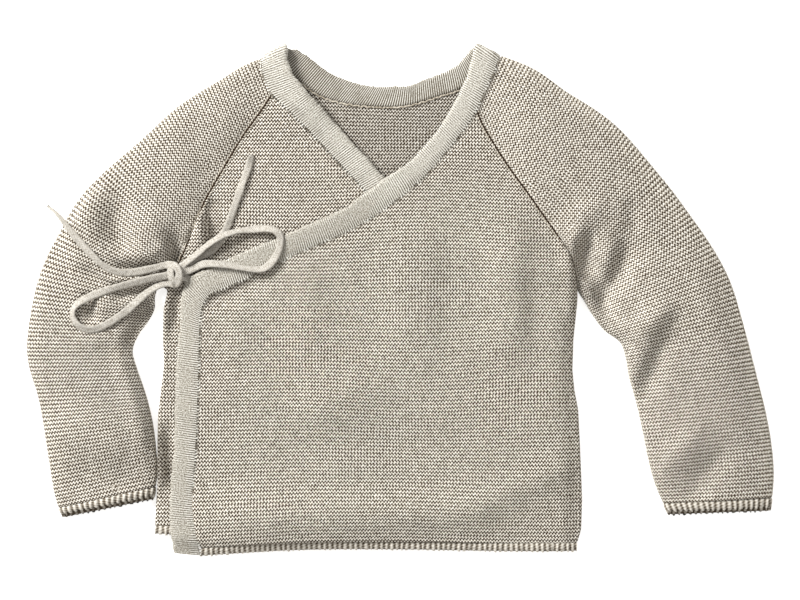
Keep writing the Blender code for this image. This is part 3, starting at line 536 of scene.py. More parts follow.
def under_hem(x):
    """The height in the view of the lower edge of the back and the right front."""
    (ax, ay), (bx, by) = SIDE_RIGHT[-1], SIDE_LEFT[-1]
    return ay + (by - ay) * (x - ax) / (bx - ax)


def over_level(x, y):
    """The height of the left front's lower face: on the right front, and down off its band beyond."""
    edge = np.vstack([UNDER_REGION, UNDER_REGION[:1]])
    off = np.where(inside(UNDER_REGION, x, y), 0.0, distance(edge, x, y) - STEP_LAP)
    level = under_level(x, y) + (BAND + GAP) * (1.0 - smooth(off / STEP_RUN)) + folds(FRONT_SWELLS, x, y)
    return level * (1.0 - HEM_DROOP * smooth((under_hem(x) - y) / HEM_RUN))


def floor_level(x, y):
    return np.zeros(np.shape(x))


def under_hems():
    """Lower edges of the back and of the right front."""
    back = [(x, float(under_hem(x))) for x in np.linspace(SIDE_RIGHT[-1][0], SIDE_LEFT[-1][0], 9)]
    end = BAND_RIGHT[-1][0]
    return back, [p for p in back if p[0] < end - 5.0] + [(end, float(under_hem(end)))]


def laid(line, level, lift):
    """A flat line of points set on a layer, `lift` above its lower face."""
    return np.column_stack([line, level(line[:, 0], line[:, 1]) + lift])


def stitch_rows(u, heights):
    """Stitch coordinates of a net: the same u in each row of points, and one height for each row."""
    return np.array([np.column_stack([u, np.full(len(u), v)]) for v in heights], float)


# ---------------------------------------------------------------- cloth meshes

class Cloth:
    """Points, triangles and stitch coordinates of one piece, gathered skin by skin, in millimetres."""

    def __init__(self):
        self.points, self.stitches, self.pulls, self.faces, self.count = [], [], [], [], 0

    def add(self, points, stitches, faces, pull=0.0):
        """Takes up one skin and returns the number of its first point."""
        points = np.asarray(points, float)
        self.points.append(points)
        self.pulls.append(np.zeros(len(points)) + pull)
        self.stitches.append(np.asarray(stitches, float))
        self.faces.append(np.asarray(faces, int).reshape(-1, 3) + self.count)
        self.count += len(points)
        return self.count - len(points)

    def grid(self, rows, stitches, loop=False, pull=0.0):
        """Skins a net of points, rows by columns; loop joins the last column to the first."""
        rows = np.asarray(rows, float)
        n, m = rows.shape[:2]
        i, j = np.meshgrid(np.arange(n - 1), np.arange(m if loop else m - 1), indexing="ij")
        k = (j + 1) % m
        a, b, c, d = i * m + j, i * m + k, (i + 1) * m + k, (i + 1) * m + j
        faces = np.concatenate([np.stack(corners, -1).reshape(-1, 3) for corners in ((a, b, c), (a, c, d))])
        pull = np.broadcast_to(pull, (n, m)).ravel()
        self.add(rows.reshape(-1, 3), np.asarray(stitches, float).reshape(-1, 2), faces, pull)

    def cap(self, net):
        """Closes both ends of a tube given as rings of points."""
        for ring, flip in ((net[0], 1), (net[-1], -1)):
            points = np.vstack([ring, ring.mean(axis=0)])
            order = np.arange(len(ring))
            self.add(points, np.zeros((len(points), 2)),
                     np.column_stack([order, np.roll(order, -flip), np.full(len(ring), len(ring))]))

    def make(self, name, material, slot):
        points = np.vstack(self.points) * MM
        faces = np.vstack(self.faces)
        stitches = np.vstack(self.stitches)
        data = bpy.data.meshes.new(name)
        data.vertices.add(len(points))
        data.vertices.foreach_set("co", points.ravel())
        data.loops.add(faces.size)
        data.loops.foreach_set("vertex_index", faces.ravel())
        data.polygons.add(len(faces))
        data.polygons.foreach_set("loop_start", np.arange(0, faces.size, 3))
        data.polygons.foreach_set("use_smooth", np.ones(len(faces), bool))
        layer = data.uv_layers.new(name="Stitches")
        layer.data.foreach_set("uv", stitches[faces.ravel()].ravel())
        data.attributes.new("PullAndShade", "FLOAT", "POINT").data.foreach_set("value", np.concatenate(self.pulls))
        data.update(calc_edges=True)
        data.validate()
        data.materials.append(material)
        piece = bpy.data.objects.new(name, data)
        bpy.context.scene.collection.objects.link(piece)
        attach(piece, "root")
        return piece


def spread(mask, reach):
    """The mask with every node within `reach` of it added."""
    out = np.zeros_like(mask)
    for dy in range(-reach, reach + 1):
        for dx in range(-reach, reach + 1):
            out |= np.roll(mask, (dy, dx), axis=(0, 1))
    return out


def lattice(ring):
    """Nodes well within an outline given in lattice units, as a mask, and the node at the mask's corner."""
    low = np.floor(ring.min(axis=0)).astype(int) - 1
    high = np.ceil(ring.max(axis=0)).astype(int) + 2
    mask = np.zeros((high[1] - low[1], high[0] - low[0]), bool)
    columns = np.arange(low[0], high[0])
    ends = np.roll(ring, -1, axis=0)
    for k in range(mask.shape[0]):
        y = low[1] + k + 1e-4
        crosses = (ring[:, 1] > y) != (ends[:, 1] > y)
        a, b = ring[crosses], ends[crosses]
        at = np.sort(a[:, 0] + (y - a[:, 1]) * (b[:, 0] - a[:, 0]) / (b[:, 1] - a[:, 1]))
        for left, right in zip(at[0::2], at[1::2]):
            mask[k] |= (columns > left) & (columns < right)
    return ~spread(~mask, 1), low


def skin(cloth, ring, place, fine=None, coarse=6, relief=0.0, seed=1, stretch_and_highlight=None):
    """Covers an outline with cloth: garter ridges where fine(c, r) is true and a plain net elsewhere.

    The outline is in lattice units: half stitches along a row, and quarter ridges up. place(c, r) gives the
    points and outward normals. The last argument gives 1 at (c, r) where the cloth is pulled, so that its
    ridges run smooth and its colour is lifted, a painted highlight.
    Returns the number of the outline's first point.
    """
    core, low = lattice(ring)
    rows, columns = np.meshgrid(np.arange(core.shape[0]) + low[1], np.arange(core.shape[1]) + low[0],
                                indexing="ij")
    knit = core & fine(columns, rows) if fine else np.zeros_like(core)

    # The fine net: its squares, the nodes that they use and the edges round them
    cell = np.zeros_like(core)
    cell[:-1, :-1] = knit[:-1, :-1] & knit[1:, :-1] & knit[:-1, 1:] & knit[1:, 1:]
    used = cell.copy()
    used[1:] |= cell[:-1]
    used[:, 1:] |= cell[:, :-1]
    used[1:, 1:] |= cell[:-1, :-1]
    number = np.full(core.shape, -1)
    number[used] = np.arange(used.sum())
    net = np.column_stack([columns[used], rows[used]]).astype(float)
    i, j = np.nonzero(cell)
    a, b, c, d = number[i, j], number[i, j + 1], number[i + 1, j + 1], number[i + 1, j]
    faces = [np.column_stack([a, b, c]), np.column_stack([a, c, d])]
    edges = []
    for axis, (di, dj) in enumerate(((0, 1), (1, 0))):
        i, j = np.nonzero(cell ^ np.roll(cell, 1, axis=axis))
        edges.append(np.column_stack([number[i, j], number[i + di, j + dj]]))
    edges = np.vstack(edges)
    rim = np.unique(edges)

    # The plain net between it and the outline
    plain = core & (rows % (coarse * 2) == 0) & (columns % coarse == 0) & ~spread(used, 2)
    extra = np.column_stack([columns[plain], rows[plain]]).astype(float)
    first = len(net)
    order = np.arange(len(ring))
    numbers = np.concatenate([first + order, rim, first + len(ring) + np.arange(len(extra))])
    bounds = np.vstack([np.column_stack([order, np.roll(order, -1)]),
                        len(ring) + np.searchsorted(rim, edges)])
    spots, _, triangles, origins = delaunay_2d_cdt(
        [tuple(p) for p in np.vstack([ring, net[rim], extra])], bounds.tolist(), [], 1, 1e-7)[:4]
    triangles = np.array([t for t in triangles if len(t) == 3])
    k = np.floor(np.array([tuple(v) for v in spots])[triangles].mean(axis=1)).astype(int) - low
    triangles = triangles[~cell[k[:, 1], k[:, 0]]]
    triangles = np.array([numbers[ids[0]] if ids else -1 for ids in origins])[triangles]
    faces.append(triangles[(triangles >= 0).all(axis=1)])

    # The loops of the ridges, each a little out of place
    draws = np.random.RandomState(seed)
    every = np.vstack([net, ring, extra])
    stitched = np.arange(len(every)) < first
    jitter = draws.normal(0.0, 1.0, (len(every), 3)) * stitched[:, None]
    column, row = every[:, 0], every[:, 1]
    turn = np.cos(TAU * row / ROWS_PER_RIDGE)
    lean = LOOP_LEAN * np.sin(column / 37.0 + row / 71.0 + seed) * np.cos(column / 61.0 - row / 53.0) * turn
    strays = draws.uniform(0.0, TAU, int(np.ptp(row) / 2.0) + 2)[((row - row.min()) / 2.0).astype(int)]
    lean = (lean + ROW_DRIFT * np.sin(column / 17.0 + strays)) * stitched
    points, normals = place(column + lean + STRAY[0] * jitter[:, 0], row + STRAY[1] * jitter[:, 1])
    pull = stretch_and_highlight(column, row) if stretch_and_highlight else 0.0
    furrow = -np.sin(TAU * row / ROWS_PER_RIDGE)
    loops = -0.9 * np.cos(np.pi * column) * turn * (1.0 - 0.8 * pull) + furrow * (0.38 + 0.5 * pull)
    height = relief * loops * (1.0 + STRAY_HEIGHT * jitter[:, 2]) * stitched
    stitches = np.column_stack([column / POINTS_PER_STITCH, row / ROWS_PER_RIDGE])
    return first + cloth.add(points + normals * height[:, None], stitches, np.vstack(faces), pull)


def rim_wall(cloth, edge, drop, out):
    """A rounded edge from an outline of points down to the cloth's lower face."""
    ahead = np.roll(edge, -1, axis=0) - np.roll(edge, 1, axis=0)
    side = unit(np.column_stack([ahead[:, 1], -ahead[:, 0], np.zeros(len(ahead))]))
    rows = [edge + side * out * push - drop * share * UP
            for share, push in ((0.0, 0.0), (0.25, 0.8), (0.6, 1.0), (1.0, 0.3))]
    cloth.grid(rows, stitch_rows(run_of(edge) / EDGE_STITCH, 0.35 * np.arange(4)), loop=True)


# ---------------------------------------------------------------- panels

def uneven_row(r):
    """Where a row of points lies: the two rows of loops in a ridge are closer than half a ridge."""
    share = sizes("garter").wave * ROWS_PER_RIDGE / 2.0
    return r - share * (1.0 - np.cos(TAU * r / ROWS_PER_RIDGE))


def row_bend(x, y):
    """How far a body row strays from level: with the hem near it, and in slow waves above."""
    hem = np.interp(x, *zip(*OVER_HEM)) - HEM_LEVEL
    low = 1.0 - smooth((y + 148.0) / 90.0)
    return hem * low + 1.1 * np.sin(x / 23.0 + 0.9) * np.sin(y / 31.0) * (1.0 - low) \
        + 0.8 * np.sin(x / 41.0 + y / 37.0)


def body_place(level, lift, up=1.0, wrinkles=(), groove=0.0):
    """Lattice to points for a panel laid flat at its level, with its creases and its raglan seam sunk in.

    Also returns the way back, from points to the lattice.
    """
    seam_line = np.array(SLEEVE_LEFT if level is over_level else SLEEVE_RIGHT)[UNDERARM:, :2]
    knit = sizes("garter")
    column, row = knit.stitch / MM / POINTS_PER_STITCH, knit.ridge / MM / ROWS_PER_RIDGE
    rounds = range(12)

    def place(c, r):
        x = c * column
        y = uneven_row(r) * row
        y = y + row_bend(x, y)
        sunk = groove * np.exp(-(distance(seam_line, x, y) / GROOVE_WIDTH) ** 2)
        points = np.column_stack([x, y, level(x, y) + lift + (creases(wrinkles, x, y) - sunk)])
        return points, np.tile(UP * up, (len(x), 1))

    def lattice_of(points):
        x, level_y = points[:, 0], points[:, 1]
        y = level_y
        for _ in rounds:
            y = level_y - row_bend(x, y)
        r = y / row
        for _ in rounds:
            r = r + (y / row - uneven_row(r))
        return np.column_stack([x / column, r])

    return place, lattice_of


def raise_hem(line):
    """A panel's lower edge without the trim below it."""
    return [(x, y + TRIM) for x, y in line]


def back_points(table, neck):
    """A sleeve's inner edge in the lower layer, which ends at the back neck."""
    inner = np.array([row[:2] for row in table], float)
    rise = np.array(neck) - inner[-1]
    share = np.clip((np.arange(len(table)) - UNDERARM) / (len(table) - 1 - UNDERARM), 0.0, 1.0)
    return inner + rise * (share ** 2)[:, None]


def panel_outlines():
    """Closed outlines of the back, the right front and the left front, the same cuts as the solids."""
    right_raglan = [row[:2] for row in SLEEVE_RIGHT[UNDERARM:]]
    left_raglan = [row[:2] for row in SLEEVE_LEFT[UNDERARM:]]
    right_back = [tuple(p) for p in back_points(SLEEVE_RIGHT, BACK_NECK_RIGHT)[UNDERARM:]]
    left_back = [tuple(p) for p in back_points(SLEEVE_LEFT, BACK_NECK_LEFT)[UNDERARM:]]
    back_seam, right_seam, left_seam = ([tuple(row[:2]) for row in through(table, 3.0)]
                                        for table in (BAND_BACK, BAND_RIGHT, BAND_LEFT))
    back_hem, right_hem = under_hems()
    neck = [p for p in back_seam if right_back[-1][0] + 3.0 < p[0] < left_back[-1][0] - 3.0]
    back = raise_hem(back_hem) + SIDE_LEFT[:-1][::-1] + left_back + neck[::-1] + right_back[::-1]
    edge = [p for p in right_seam if -143.0 < p[1] < right_raglan[-1][1] - 2.0]
    right = raise_hem(right_hem) + edge[::-1] + right_raglan[::-1]
    slant = [p for p in left_seam if left_raglan[-1][1] - 2.0 > p[1] > -146.0]
    over_hem = [tuple(p) for p in through(OVER_HEM, 12.0)]
    left = slant + raise_hem(over_hem) + SIDE_LEFT[:-1][::-1] + left_raglan
    return back + SIDE_RIGHT[:-1], right + SIDE_RIGHT[:-1], left


def signed_area(ring):
    """The area within an outline, above 0 where it runs anticlockwise."""
    return np.sum(ring[:, 0] * np.roll(ring[:, 1], -1) - np.roll(ring[:, 0], -1) * ring[:, 1]) / 2.0


def build_panel(ring, level, shown, seed):
    """One body panel: garter relief where it can be seen, plain where another layer covers it."""
    cloth = Cloth()
    ring = evened(np.vstack([ring, ring[:1]]), 1.7)[:-1]
    ring = ring if signed_area(ring) > 0.0 else ring[::-1]
    wrinkles = {over_level: OVER_CREASES, under_level: UNDER_CREASES, floor_level: []}[level]
    place, lattice_of = body_place(level, WALL, wrinkles=wrinkles, groove=SEAM_GROOVE if wrinkles else 0.0)

    def fine(c, r):
        flat, _ = place(c.ravel().astype(float), r.ravel().astype(float))
        return shown(flat[:, 0], flat[:, 1]).reshape(c.shape)

    outline = lattice_of(ring)
    first = skin(cloth, outline, place, fine, relief=sizes("garter").relief / MM, seed=seed)
    edge = cloth.points[-1][first:first + len(ring)]
    edge[:, 2] -= 0.45
    rim_wall(cloth, edge, edge[:, 2:] - level(edge[:, 0], edge[:, 1])[:, None], 0.35)
    under, _ = body_place(level, 0.0, -1.0)
    skin(cloth, outline, under, None, seed=seed)
    return cloth, ring


def everywhere(x, y):
    return np.ones(np.shape(x), bool)


def past_edge(band, corners, x, y):
    """True where a point lies outside a front, or just under the free edge of its band."""
    edge = np.array([row[2:] for row in band])
    return ~inside(np.vstack([edge, corners]), x, y) | (distance(edge, x, y) < SHOWN_MARGIN)


def under_shown(x, y):
    """The part of the right front that the left front leaves bare."""
    return past_edge(BAND_LEFT, [(120.0, -165.0), (120.0, 150.0)], x, y)


def back_shown(x, y):
    """The part of the back seen through the neck."""
    return past_edge(BAND_RIGHT, [(-160.0, -170.0), (-160.0, 160.0)], x, y) & under_shown(x, y) & (y > 40.0)


# ---------------------------------------------------------------- sleeves

def row_spans(table):
    """The widths of a sleeve's rows, and the distance from each to the next along its middle."""
    mids = (table[:, :2] + table[:, 2:]) / 2.0
    return np.linalg.norm(table[:, 2:] - table[:, :2], axis=1), np.linalg.norm(np.diff(mids, axis=0), axis=1)


def fold_arc(outer, across, degrees):
    """Points round a sleeve's outer fold, at angles above the level of its middle."""
    angle = np.radians(degrees)
    flat = outer - across * FOLD_R + across * (FOLD_R * np.cos(angle))[:, None]
    return np.column_stack([flat, FOLD_R + FOLD_R * np.sin(angle)])


def upper_profile(inner, outer, rim, bulge, opened):
    """From the outer fold over the top to the inner edge, and the share of a crease that each point takes.

    The inner edge is a fold where `opened` is 0; where it is 1 the cloth comes down to the raglan seam.
    """
    width = np.linalg.norm(outer - inner)
    across = (outer - inner) / width
    top = 2.0 * FOLD_R
    turn = np.radians(np.linspace(90.0, 0.0, 9))[1:]
    tail = FOLD_R * np.sin(turn) * (1.0 - opened) + FOLD_R * turn / (math.pi / 2.0) * opened
    s = np.concatenate([np.linspace(width - FOLD_R, FOLD_R, 44), tail])
    dome = np.sin(np.pi * np.clip(s / (width - FOLD_R), 0.0, 1.0))
    rise = smooth(np.clip(s / (width - FOLD_R), 0.0, 1.0) * 2.0)
    curl = FOLD_R + np.sqrt(np.maximum(0.0, FOLD_R ** 2 - (FOLD_R - s) ** 2))
    closed = np.where(s >= FOLD_R - 1e-6, top, curl)
    closed += bulge * np.sin(np.pi * np.clip((s - FOLD_R) / (width - top), 0.0, 1.0)) ** 0.8
    flat = inner + across * s[:, None]
    height = closed * (1.0 - opened) + (rim + (top - rim) * rise + bulge * dome ** 0.8) * opened
    height += folds(SLEEVE_FOLDS, flat[:, 0], flat[:, 1]) * dome ** 0.5
    height -= SEAM_GROOVE * opened * np.exp(-(s / GROOVE_WIDTH) ** 2)
    arc = fold_arc(outer, across, np.linspace(-75.0, 90.0, 12)[:-1])
    return np.vstack([arc, np.column_stack([flat, height])]), dome ** 0.3


def lower_profile(back, outer, opened):
    """From the outer fold under the sleeve to the inner edge of the lower layer."""
    reach = np.linalg.norm(outer - back)
    across = (outer - back) / reach
    s = np.linspace(reach - FOLD_R, FOLD_R, 8)[1:]
    flat = np.column_stack([back + across * s[:, None], np.zeros(len(s))])
    turn = np.radians(np.linspace(90.0, 0.0, 5))[1:]
    s = (FOLD_R - FOLD_R * np.cos(turn)) * (1.0 - opened) + FOLD_R * turn / (math.pi / 2.0) * opened
    curl = np.column_stack([back + across * s[:, None], (FOLD_R - FOLD_R * np.sin(turn)) * (1.0 - opened)])
    return np.vstack([fold_arc(outer, across, np.linspace(-75.0, -90.0, 3)), flat, curl])


def sleeve_profiles(table, neck, level):
    """Upper and lower outlines of every knit row, from the outer fold to the inner edge."""
    table = np.array(table, float)
    drift = back_points(table, neck) - table[:, :2]
    drift[:UNDERARM + 1] = 0.0
    share = (TRIM + 0.3) / np.linalg.norm((table[1] - table[0])[:2])
    table[0] = table[0] + (table[1] - table[0]) * share
    spacing = sizes("garter").ridge / MM / ROWS_PER_RIDGE
    rows = through(table, spacing)
    rows[:, 2:] = eased(rows[:, 2:], 30)
    last = len(table) - 1.0
    counts = np.maximum(1, np.round(row_spans(table)[1] / spacing)).astype(int)
    station = np.concatenate([i + np.arange(n) / n for i, n in enumerate(counts)] + [[last]])
    backs = rows[:, :2] + read_at(drift, np.arange(last + 1.0), station)
    rims = level(rows[:, 0], rows[:, 1]) + WALL
    bulges = BULGE * np.minimum(1.0, row_spans(rows)[0] / FULL_WIDTH) * smooth((last - station) / 3.0)
    upper, strength, lower = [], [], []
    for row, back, rim, bulge, opened in zip(rows, backs, rims, bulges, smooth(station - UNDERARM)):
        points, taken = upper_profile(row[:2], row[2:], rim, bulge, opened)
        upper.append(points)
        strength.append(taken)
        lower.append(lower_profile(back, row[2:], opened))
    upper, strength = np.array(upper), np.array(strength)
    top = upper[:, -strength.shape[1]:]
    top[..., 2] += creases(SLEEVE_CREASES, top[..., 0], top[..., 1]) * strength
    upper[..., 2] = np.minimum(upper[..., 2], pressed(upper[..., 0], upper[..., 1]))
    return upper, np.array(lower)


def net_place(profiles, spacing, flip):
    """Lattice to points on a net of profiles: columns by length along each, rows by their number."""
    runs = [run_of(profile) for profile in profiles]
    ends = np.array([run[-1] for run in runs]) / spacing
    wide = int(np.ceil(ends.max())) + 4
    at = np.arange(wide) * spacing
    net = np.array([read_at(profile, run, at) + unit(profile[-1] - profile[-2])
                    * np.maximum(at - run[-1], 0.0)[:, None] for profile, run in zip(profiles, runs)])
    normal = unit(np.cross(np.gradient(net, axis=1), np.gradient(net, axis=0)) * flip)

    def place(c, r):
        c = np.clip(c, 0.0, wide - 1.001)
        r = np.clip(uneven_row(r), 0.0, len(net) - 1.001)
        j, i = c.astype(int), r.astype(int)
        fc, fr = (c - j)[:, None], (r - i)[:, None]
        return [(field[i, j] * (1 - fc) + field[i, j + 1] * fc) * (1 - fr)
                + (field[i + 1, j] * (1 - fc) + field[i + 1, j + 1] * fc) * fr for field in (net, normal)]

    return place, ends


def join_to_band(cloth, end):
    """Carries the last row of a sleeve over to the seam of the band."""
    seam = band_sections()[:, :3] + 0.30 * BAND * UP
    near = seam[np.argmin(np.linalg.norm(end[:, None, :] - seam[None], axis=2), axis=1)]
    net = [end + (near - end) * np.array([t, t, float(smooth(t))]) for t in np.linspace(0.0, 1.0, 5)]
    cloth.grid(net, stitch_rows(run_of(end) / EDGE_STITCH, 0.3 * np.arange(5)))


def build_sleeve(table, neck, level, seed, side):
    """A sleeve's upper and lower skins; side is 1 for the wearer's right and -1 for the left."""
    knit = sizes("garter")
    cloth = Cloth()
    upper, lower = sleeve_profiles(table, neck, level)
    column = knit.stitch / MM / POINTS_PER_STITCH
    last = len(upper) - 1
    # The cloth is stretched along its outer fold and looser inward; there its colour is also lifted,
    # a painted highlight, more on the wearer's left sleeve
    by_fold, inward = (0.75, 0.20) if side < 0.0 else (0.45, 0.15)

    def stretch_and_highlight(c, r):
        return by_fold + (inward - by_fold) * smooth((c * column - 6.0) / 14.0)

    for profiles, flip, fine in ((upper, side, everywhere), (lower, -side, None)):
        place, ends = net_place(profiles, column, flip)
        picks = np.unique(np.append(np.arange(0, last, 2 if fine else 6), last))
        foot, top = (np.column_stack([at, np.full(len(at), row)]) for row, at in (
            (row, np.linspace(0.0, ends[row], max(3, int(ends[row] / 2)))[1:-1]) for row in (0, last)))
        left, right = (np.column_stack([at, picks]) for at in (np.zeros(len(picks)), ends[picks]))
        ring = np.vstack([foot, right, top[::-1], left[::-1]])
        skin(cloth, ring, place, fine, coarse=8, relief=0.85 * knit.relief / MM if fine else 0.0, seed=seed,
             stretch_and_highlight=stretch_and_highlight if fine else None)
        join_to_band(cloth, profiles[-1])
    return cloth


# ---------------------------------------------------------------- band

BAND_PROFILE = [          # share of the width from the seam, and share of the thickness above the middle
    (0.00, 0.34), (0.22, 0.50), (0.60, 0.50), (0.90, 0.42), (1.00, 0.12), (1.00, -0.22), (0.92, -0.50),
    (0.50, -0.50), (0.10, -0.50), (0.00, -0.40),
]


def shoulder_fold(row, to_back):
    """Sections of the band where it goes round from a front to the back neck."""
    seam, free = np.array(row[:2]), np.array(row[2:])
    swell = folds(NECK_SWELLS, np.array([row[0], row[2]]), np.array([row[1], row[3]])).mean()
    front_mid = WALL + GAP + AIR + swell + BAND / 2.0
    along = (free - seam) / np.linalg.norm(free - seam)
    out = np.array([-along[1], along[0]])
    if out[1] < 0.0:
        out = -out
    back_mid = BAND / 2.0
    radius = (front_mid - back_mid) / 2.0
    base = -out * (radius + BAND / 2.0)
    rows = []
    for angle in np.linspace(0.0, math.pi, 13):
        shift = base + out * radius * math.sin(angle)
        height = (front_mid + back_mid) / 2.0 + radius * math.cos(angle)
        rows.append((*(seam + shift), height, *(free + shift), height))
    return np.array(rows if to_back else rows[::-1])


def band_sections():
    """Rows of seam x, y, z and free edge x, y, z, from the right hem round the neck to the left hem."""
    back = through(BAND_BACK, 3.0)
    mid = np.full(len(back), BAND / 2.0)
    right, left = (np.hstack([laid(flat, level, BAND / 2.0) for flat in (rows[:, :2], rows[:, 2:])])
                   for rows, level in ((through(BAND_RIGHT, 3.0)[::-1], under_level),
                                       (through(BAND_LEFT, 3.0), over_level)))
    rows = np.vstack([right, shoulder_fold(SHOULDER_RIGHT, True),
                      np.column_stack([back[:, :2], mid, back[:, 2:], mid]),
                      shoulder_fold(SHOULDER_LEFT, False), left])
    rows[:, 5] += creases(BAND_LIFTS, rows[:, 3], rows[:, 4]) * smooth((rows[:, 5] - 4.0) / 2.0)
    return rows


def band_profile(points=20):
    """The band's section with more points, rounded between the given ones."""
    loop = np.array(BAND_PROFILE + BAND_PROFILE[:1])
    return evened(np.column_stack([loop[:, 0] * 4.0, loop[:, 1]]), 8.0 / points)[:-1] / np.array([4.0, 1.0])


def build_band():
    """The folded band: its section carried along its route, ribbed across, its free edge a bit uneven."""
    knit = sizes("band")
    rib = knit.rib / MM
    rows = band_sections()
    run = run_of((rows[:, :3] + rows[:, 3:]) / 2.0)
    at = np.arange(0.0, run[-1], rib / BAND_POINTS)
    rows = read_at(rows, run, at)
    rows = np.column_stack([np.convolve(np.pad(column, 4, mode="edge"), np.ones(9) / 9.0, mode="valid")
                            for column in rows.T])
    width, centre = rows[:, 3:] - rows[:, :3], (rows[:, :3] + rows[:, 3:]) / 2.0
    face = unit(np.cross(width, np.gradient(centre, axis=0)))
    out = unit(width)
    draws = np.random.RandomState(11)
    count, ribs = len(rows), len(rows) // BAND_POINTS + 1
    uneven = 1.0 + 0.3 * draws.normal(0.0, 1.0, ribs).repeat(BAND_POINTS)[:count]
    wave = np.convolve(draws.normal(0.0, 1.0, count + 24), np.ones(25) / 9.0, "valid")
    comb = draws.normal(0.0, 0.16, ribs).repeat(BAND_POINTS)[:count]
    # Behind the neck the reverse shows, with painted shade that is deepest at the right; down the fronts wear
    # has felted the ribs
    behind = 1.0 - smooth((centre[:, 2] - 1.8) / 2.4)
    deep = behind * (0.80 + 1.9 * (1.0 - smooth((centre[:, 0] + 66.0) / 46.0)))
    deep -= 0.32 * smooth((75.0 - centre[:, 1]) / 25.0)
    ridges = np.cos(TAU * np.arange(count) / BAND_POINTS) * knit.relief / MM * uneven
    ridges *= 1.0 + 1.4 * np.minimum(deep, 0.0)
    profile = band_profile()
    net = []
    for share, height in profile:
        point = rows[:, :3] + width * share + face * (BAND * height)
        strength = (0.9 + 0.5 * max(0.0, 1.0 - share / 0.45)) * (1.0 if height > -0.3 else 0.0)
        point = point + face * (ridges * strength)[:, None] * (1.0 if height > -0.1 else 0.3)
        point = point + out * ((0.35 * wave + comb) * share * share)[:, None]
        point = point + face * (0.12 * wave * (1.0 if height > 0.0 else 0.0))[:, None]
        point[:, 2] = np.maximum(point[:, 2], 0.02)
        net.append(point)
    net = np.array(net).transpose(1, 0, 2)
    around = run_of(profile * np.array([BAND_WIDTH, BAND]))
    # Painted shade along the seam behind the neck
    painted_shade_by_seam = 0.75 * behind[:, None] * np.clip(1.0 - profile[:, 0] / 0.7, 0.0, 1.0)
    cloth = Cloth()
    cloth.grid(net, stitch_rows(at / rib, around / 1.5).transpose(1, 0, 2), pull=deep[:, None] + painted_shade_by_seam)
    cloth.cap(net)
    return cloth


# ---------------------------------------------------------------- trims

def rib_strip(cloth, upper, lower, out, relief, wall, shade=0.0):
    """Upright ribs between an upper and a lower line of points, domed, with their feet scalloped."""
    count = len(upper)
    phase = np.arange(count) / TRIM_POINTS
    ribs = count // TRIM_POINTS + 2
    bump = np.clip(0.5 + 0.75 * np.cos(TAU * phase), 0.0, 1.0)
    draws = np.random.RandomState(5)
    uneven = (1.0 + 0.22 * draws.normal(0.0, 1.0, ribs)).repeat(TRIM_POINTS)[:count]
    lean = draws.normal(0.0, 0.25, ribs).repeat(TRIM_POINTS)[:count]
    along = unit(np.gradient(upper, axis=0))
    # Share of the height, how far the row stands out, its share of the rib and of the scallop at the foot
    section = ((0.0, -0.9, 0.0, 0.0), (0.06, -0.35, 0.5, 0.0), (0.22, 0.0, 1.0, 0.0), (0.5, 0.12, 1.0, 0.0),
               (0.78, 0.0, 1.0, 0.2), (0.95, -0.45, 0.8, 0.6), (1.0, -1.1, 0.5, 0.7), (0.9, -wall, 0.0, 0.3))
    net = [upper + (lower - upper) * share
           + (lower - upper) / TRIM * (foot * (bump * uneven * 1.3 - 0.5))[:, None]
           + out * (dome + ribbed * relief * bump * uneven)[:, None]
           + along * (lean * share)[:, None] for share, dome, ribbed, foot in section]
    cloth.grid(net, stitch_rows(phase, [2.0 * row[0] for row in section]), pull=shade)


def build_hem(line, level, ribbed):
    """The trim along the lower edge of a panel; under another layer its ribs are lower."""
    trim = sizes("trim")
    line = evened(through(line, 6.0) if len(line) > 2 else line, trim.rib / MM / TRIM_POINTS)
    foot, top = (laid(line + np.array([0.0, rise]), level, WALL - 0.1) for rise in (0.0, TRIM))
    cloth = Cloth()
    rib_strip(cloth, top, foot, UP, trim.relief / MM * (1.0 if ribbed else 0.6), WALL - 0.1)
    drop = (WALL - 0.15) * UP
    phase = np.arange(len(line)) / TRIM_POINTS
    cloth.grid([foot - UP, foot - drop, top - drop], stitch_rows(phase, range(3)))
    return cloth


def cuff_outline(row, count):
    """Points and outward directions round a cuff, starting at the inner edge and going over the top."""
    inner, outer = row[:2], row[2:]
    width = np.linalg.norm(outer - inner)
    across = (outer - inner) / width

    def arc(middle, start, end, points):
        turn = np.radians(np.linspace(start, end, points))
        return np.column_stack([middle + FOLD_R * np.cos(turn), FOLD_R + FOLD_R * np.sin(turn)])

    over = np.linspace(FOLD_R, width - FOLD_R, 30)[1:-1]
    share = (over - FOLD_R) / (width - 2.0 * FOLD_R)
    bulge = BULGE * min(1.0, width / FULL_WIDTH) * np.sin(np.pi * share) ** 0.8
    under = np.linspace(width - FOLD_R, FOLD_R, 12)[1:-1]
    loop = np.vstack([arc(FOLD_R, 180.0, 90.0, 8), np.column_stack([over, 2.0 * FOLD_R + bulge]),
                      arc(width - FOLD_R, 90.0, -90.0, 15), np.column_stack([under, np.zeros(len(under))]),
                      arc(FOLD_R, -90.0, -180.0, 8)])
    run = run_of(loop)
    flat = read_at(loop, run, np.linspace(0.0, run[-1], count + 1))
    ahead = unit(np.gradient(flat, axis=0))
    return (np.column_stack([inner + across * flat[:, :1], flat[:, 1]]),
            np.column_stack([across * -ahead[:, 1:], ahead[:, 0]]))


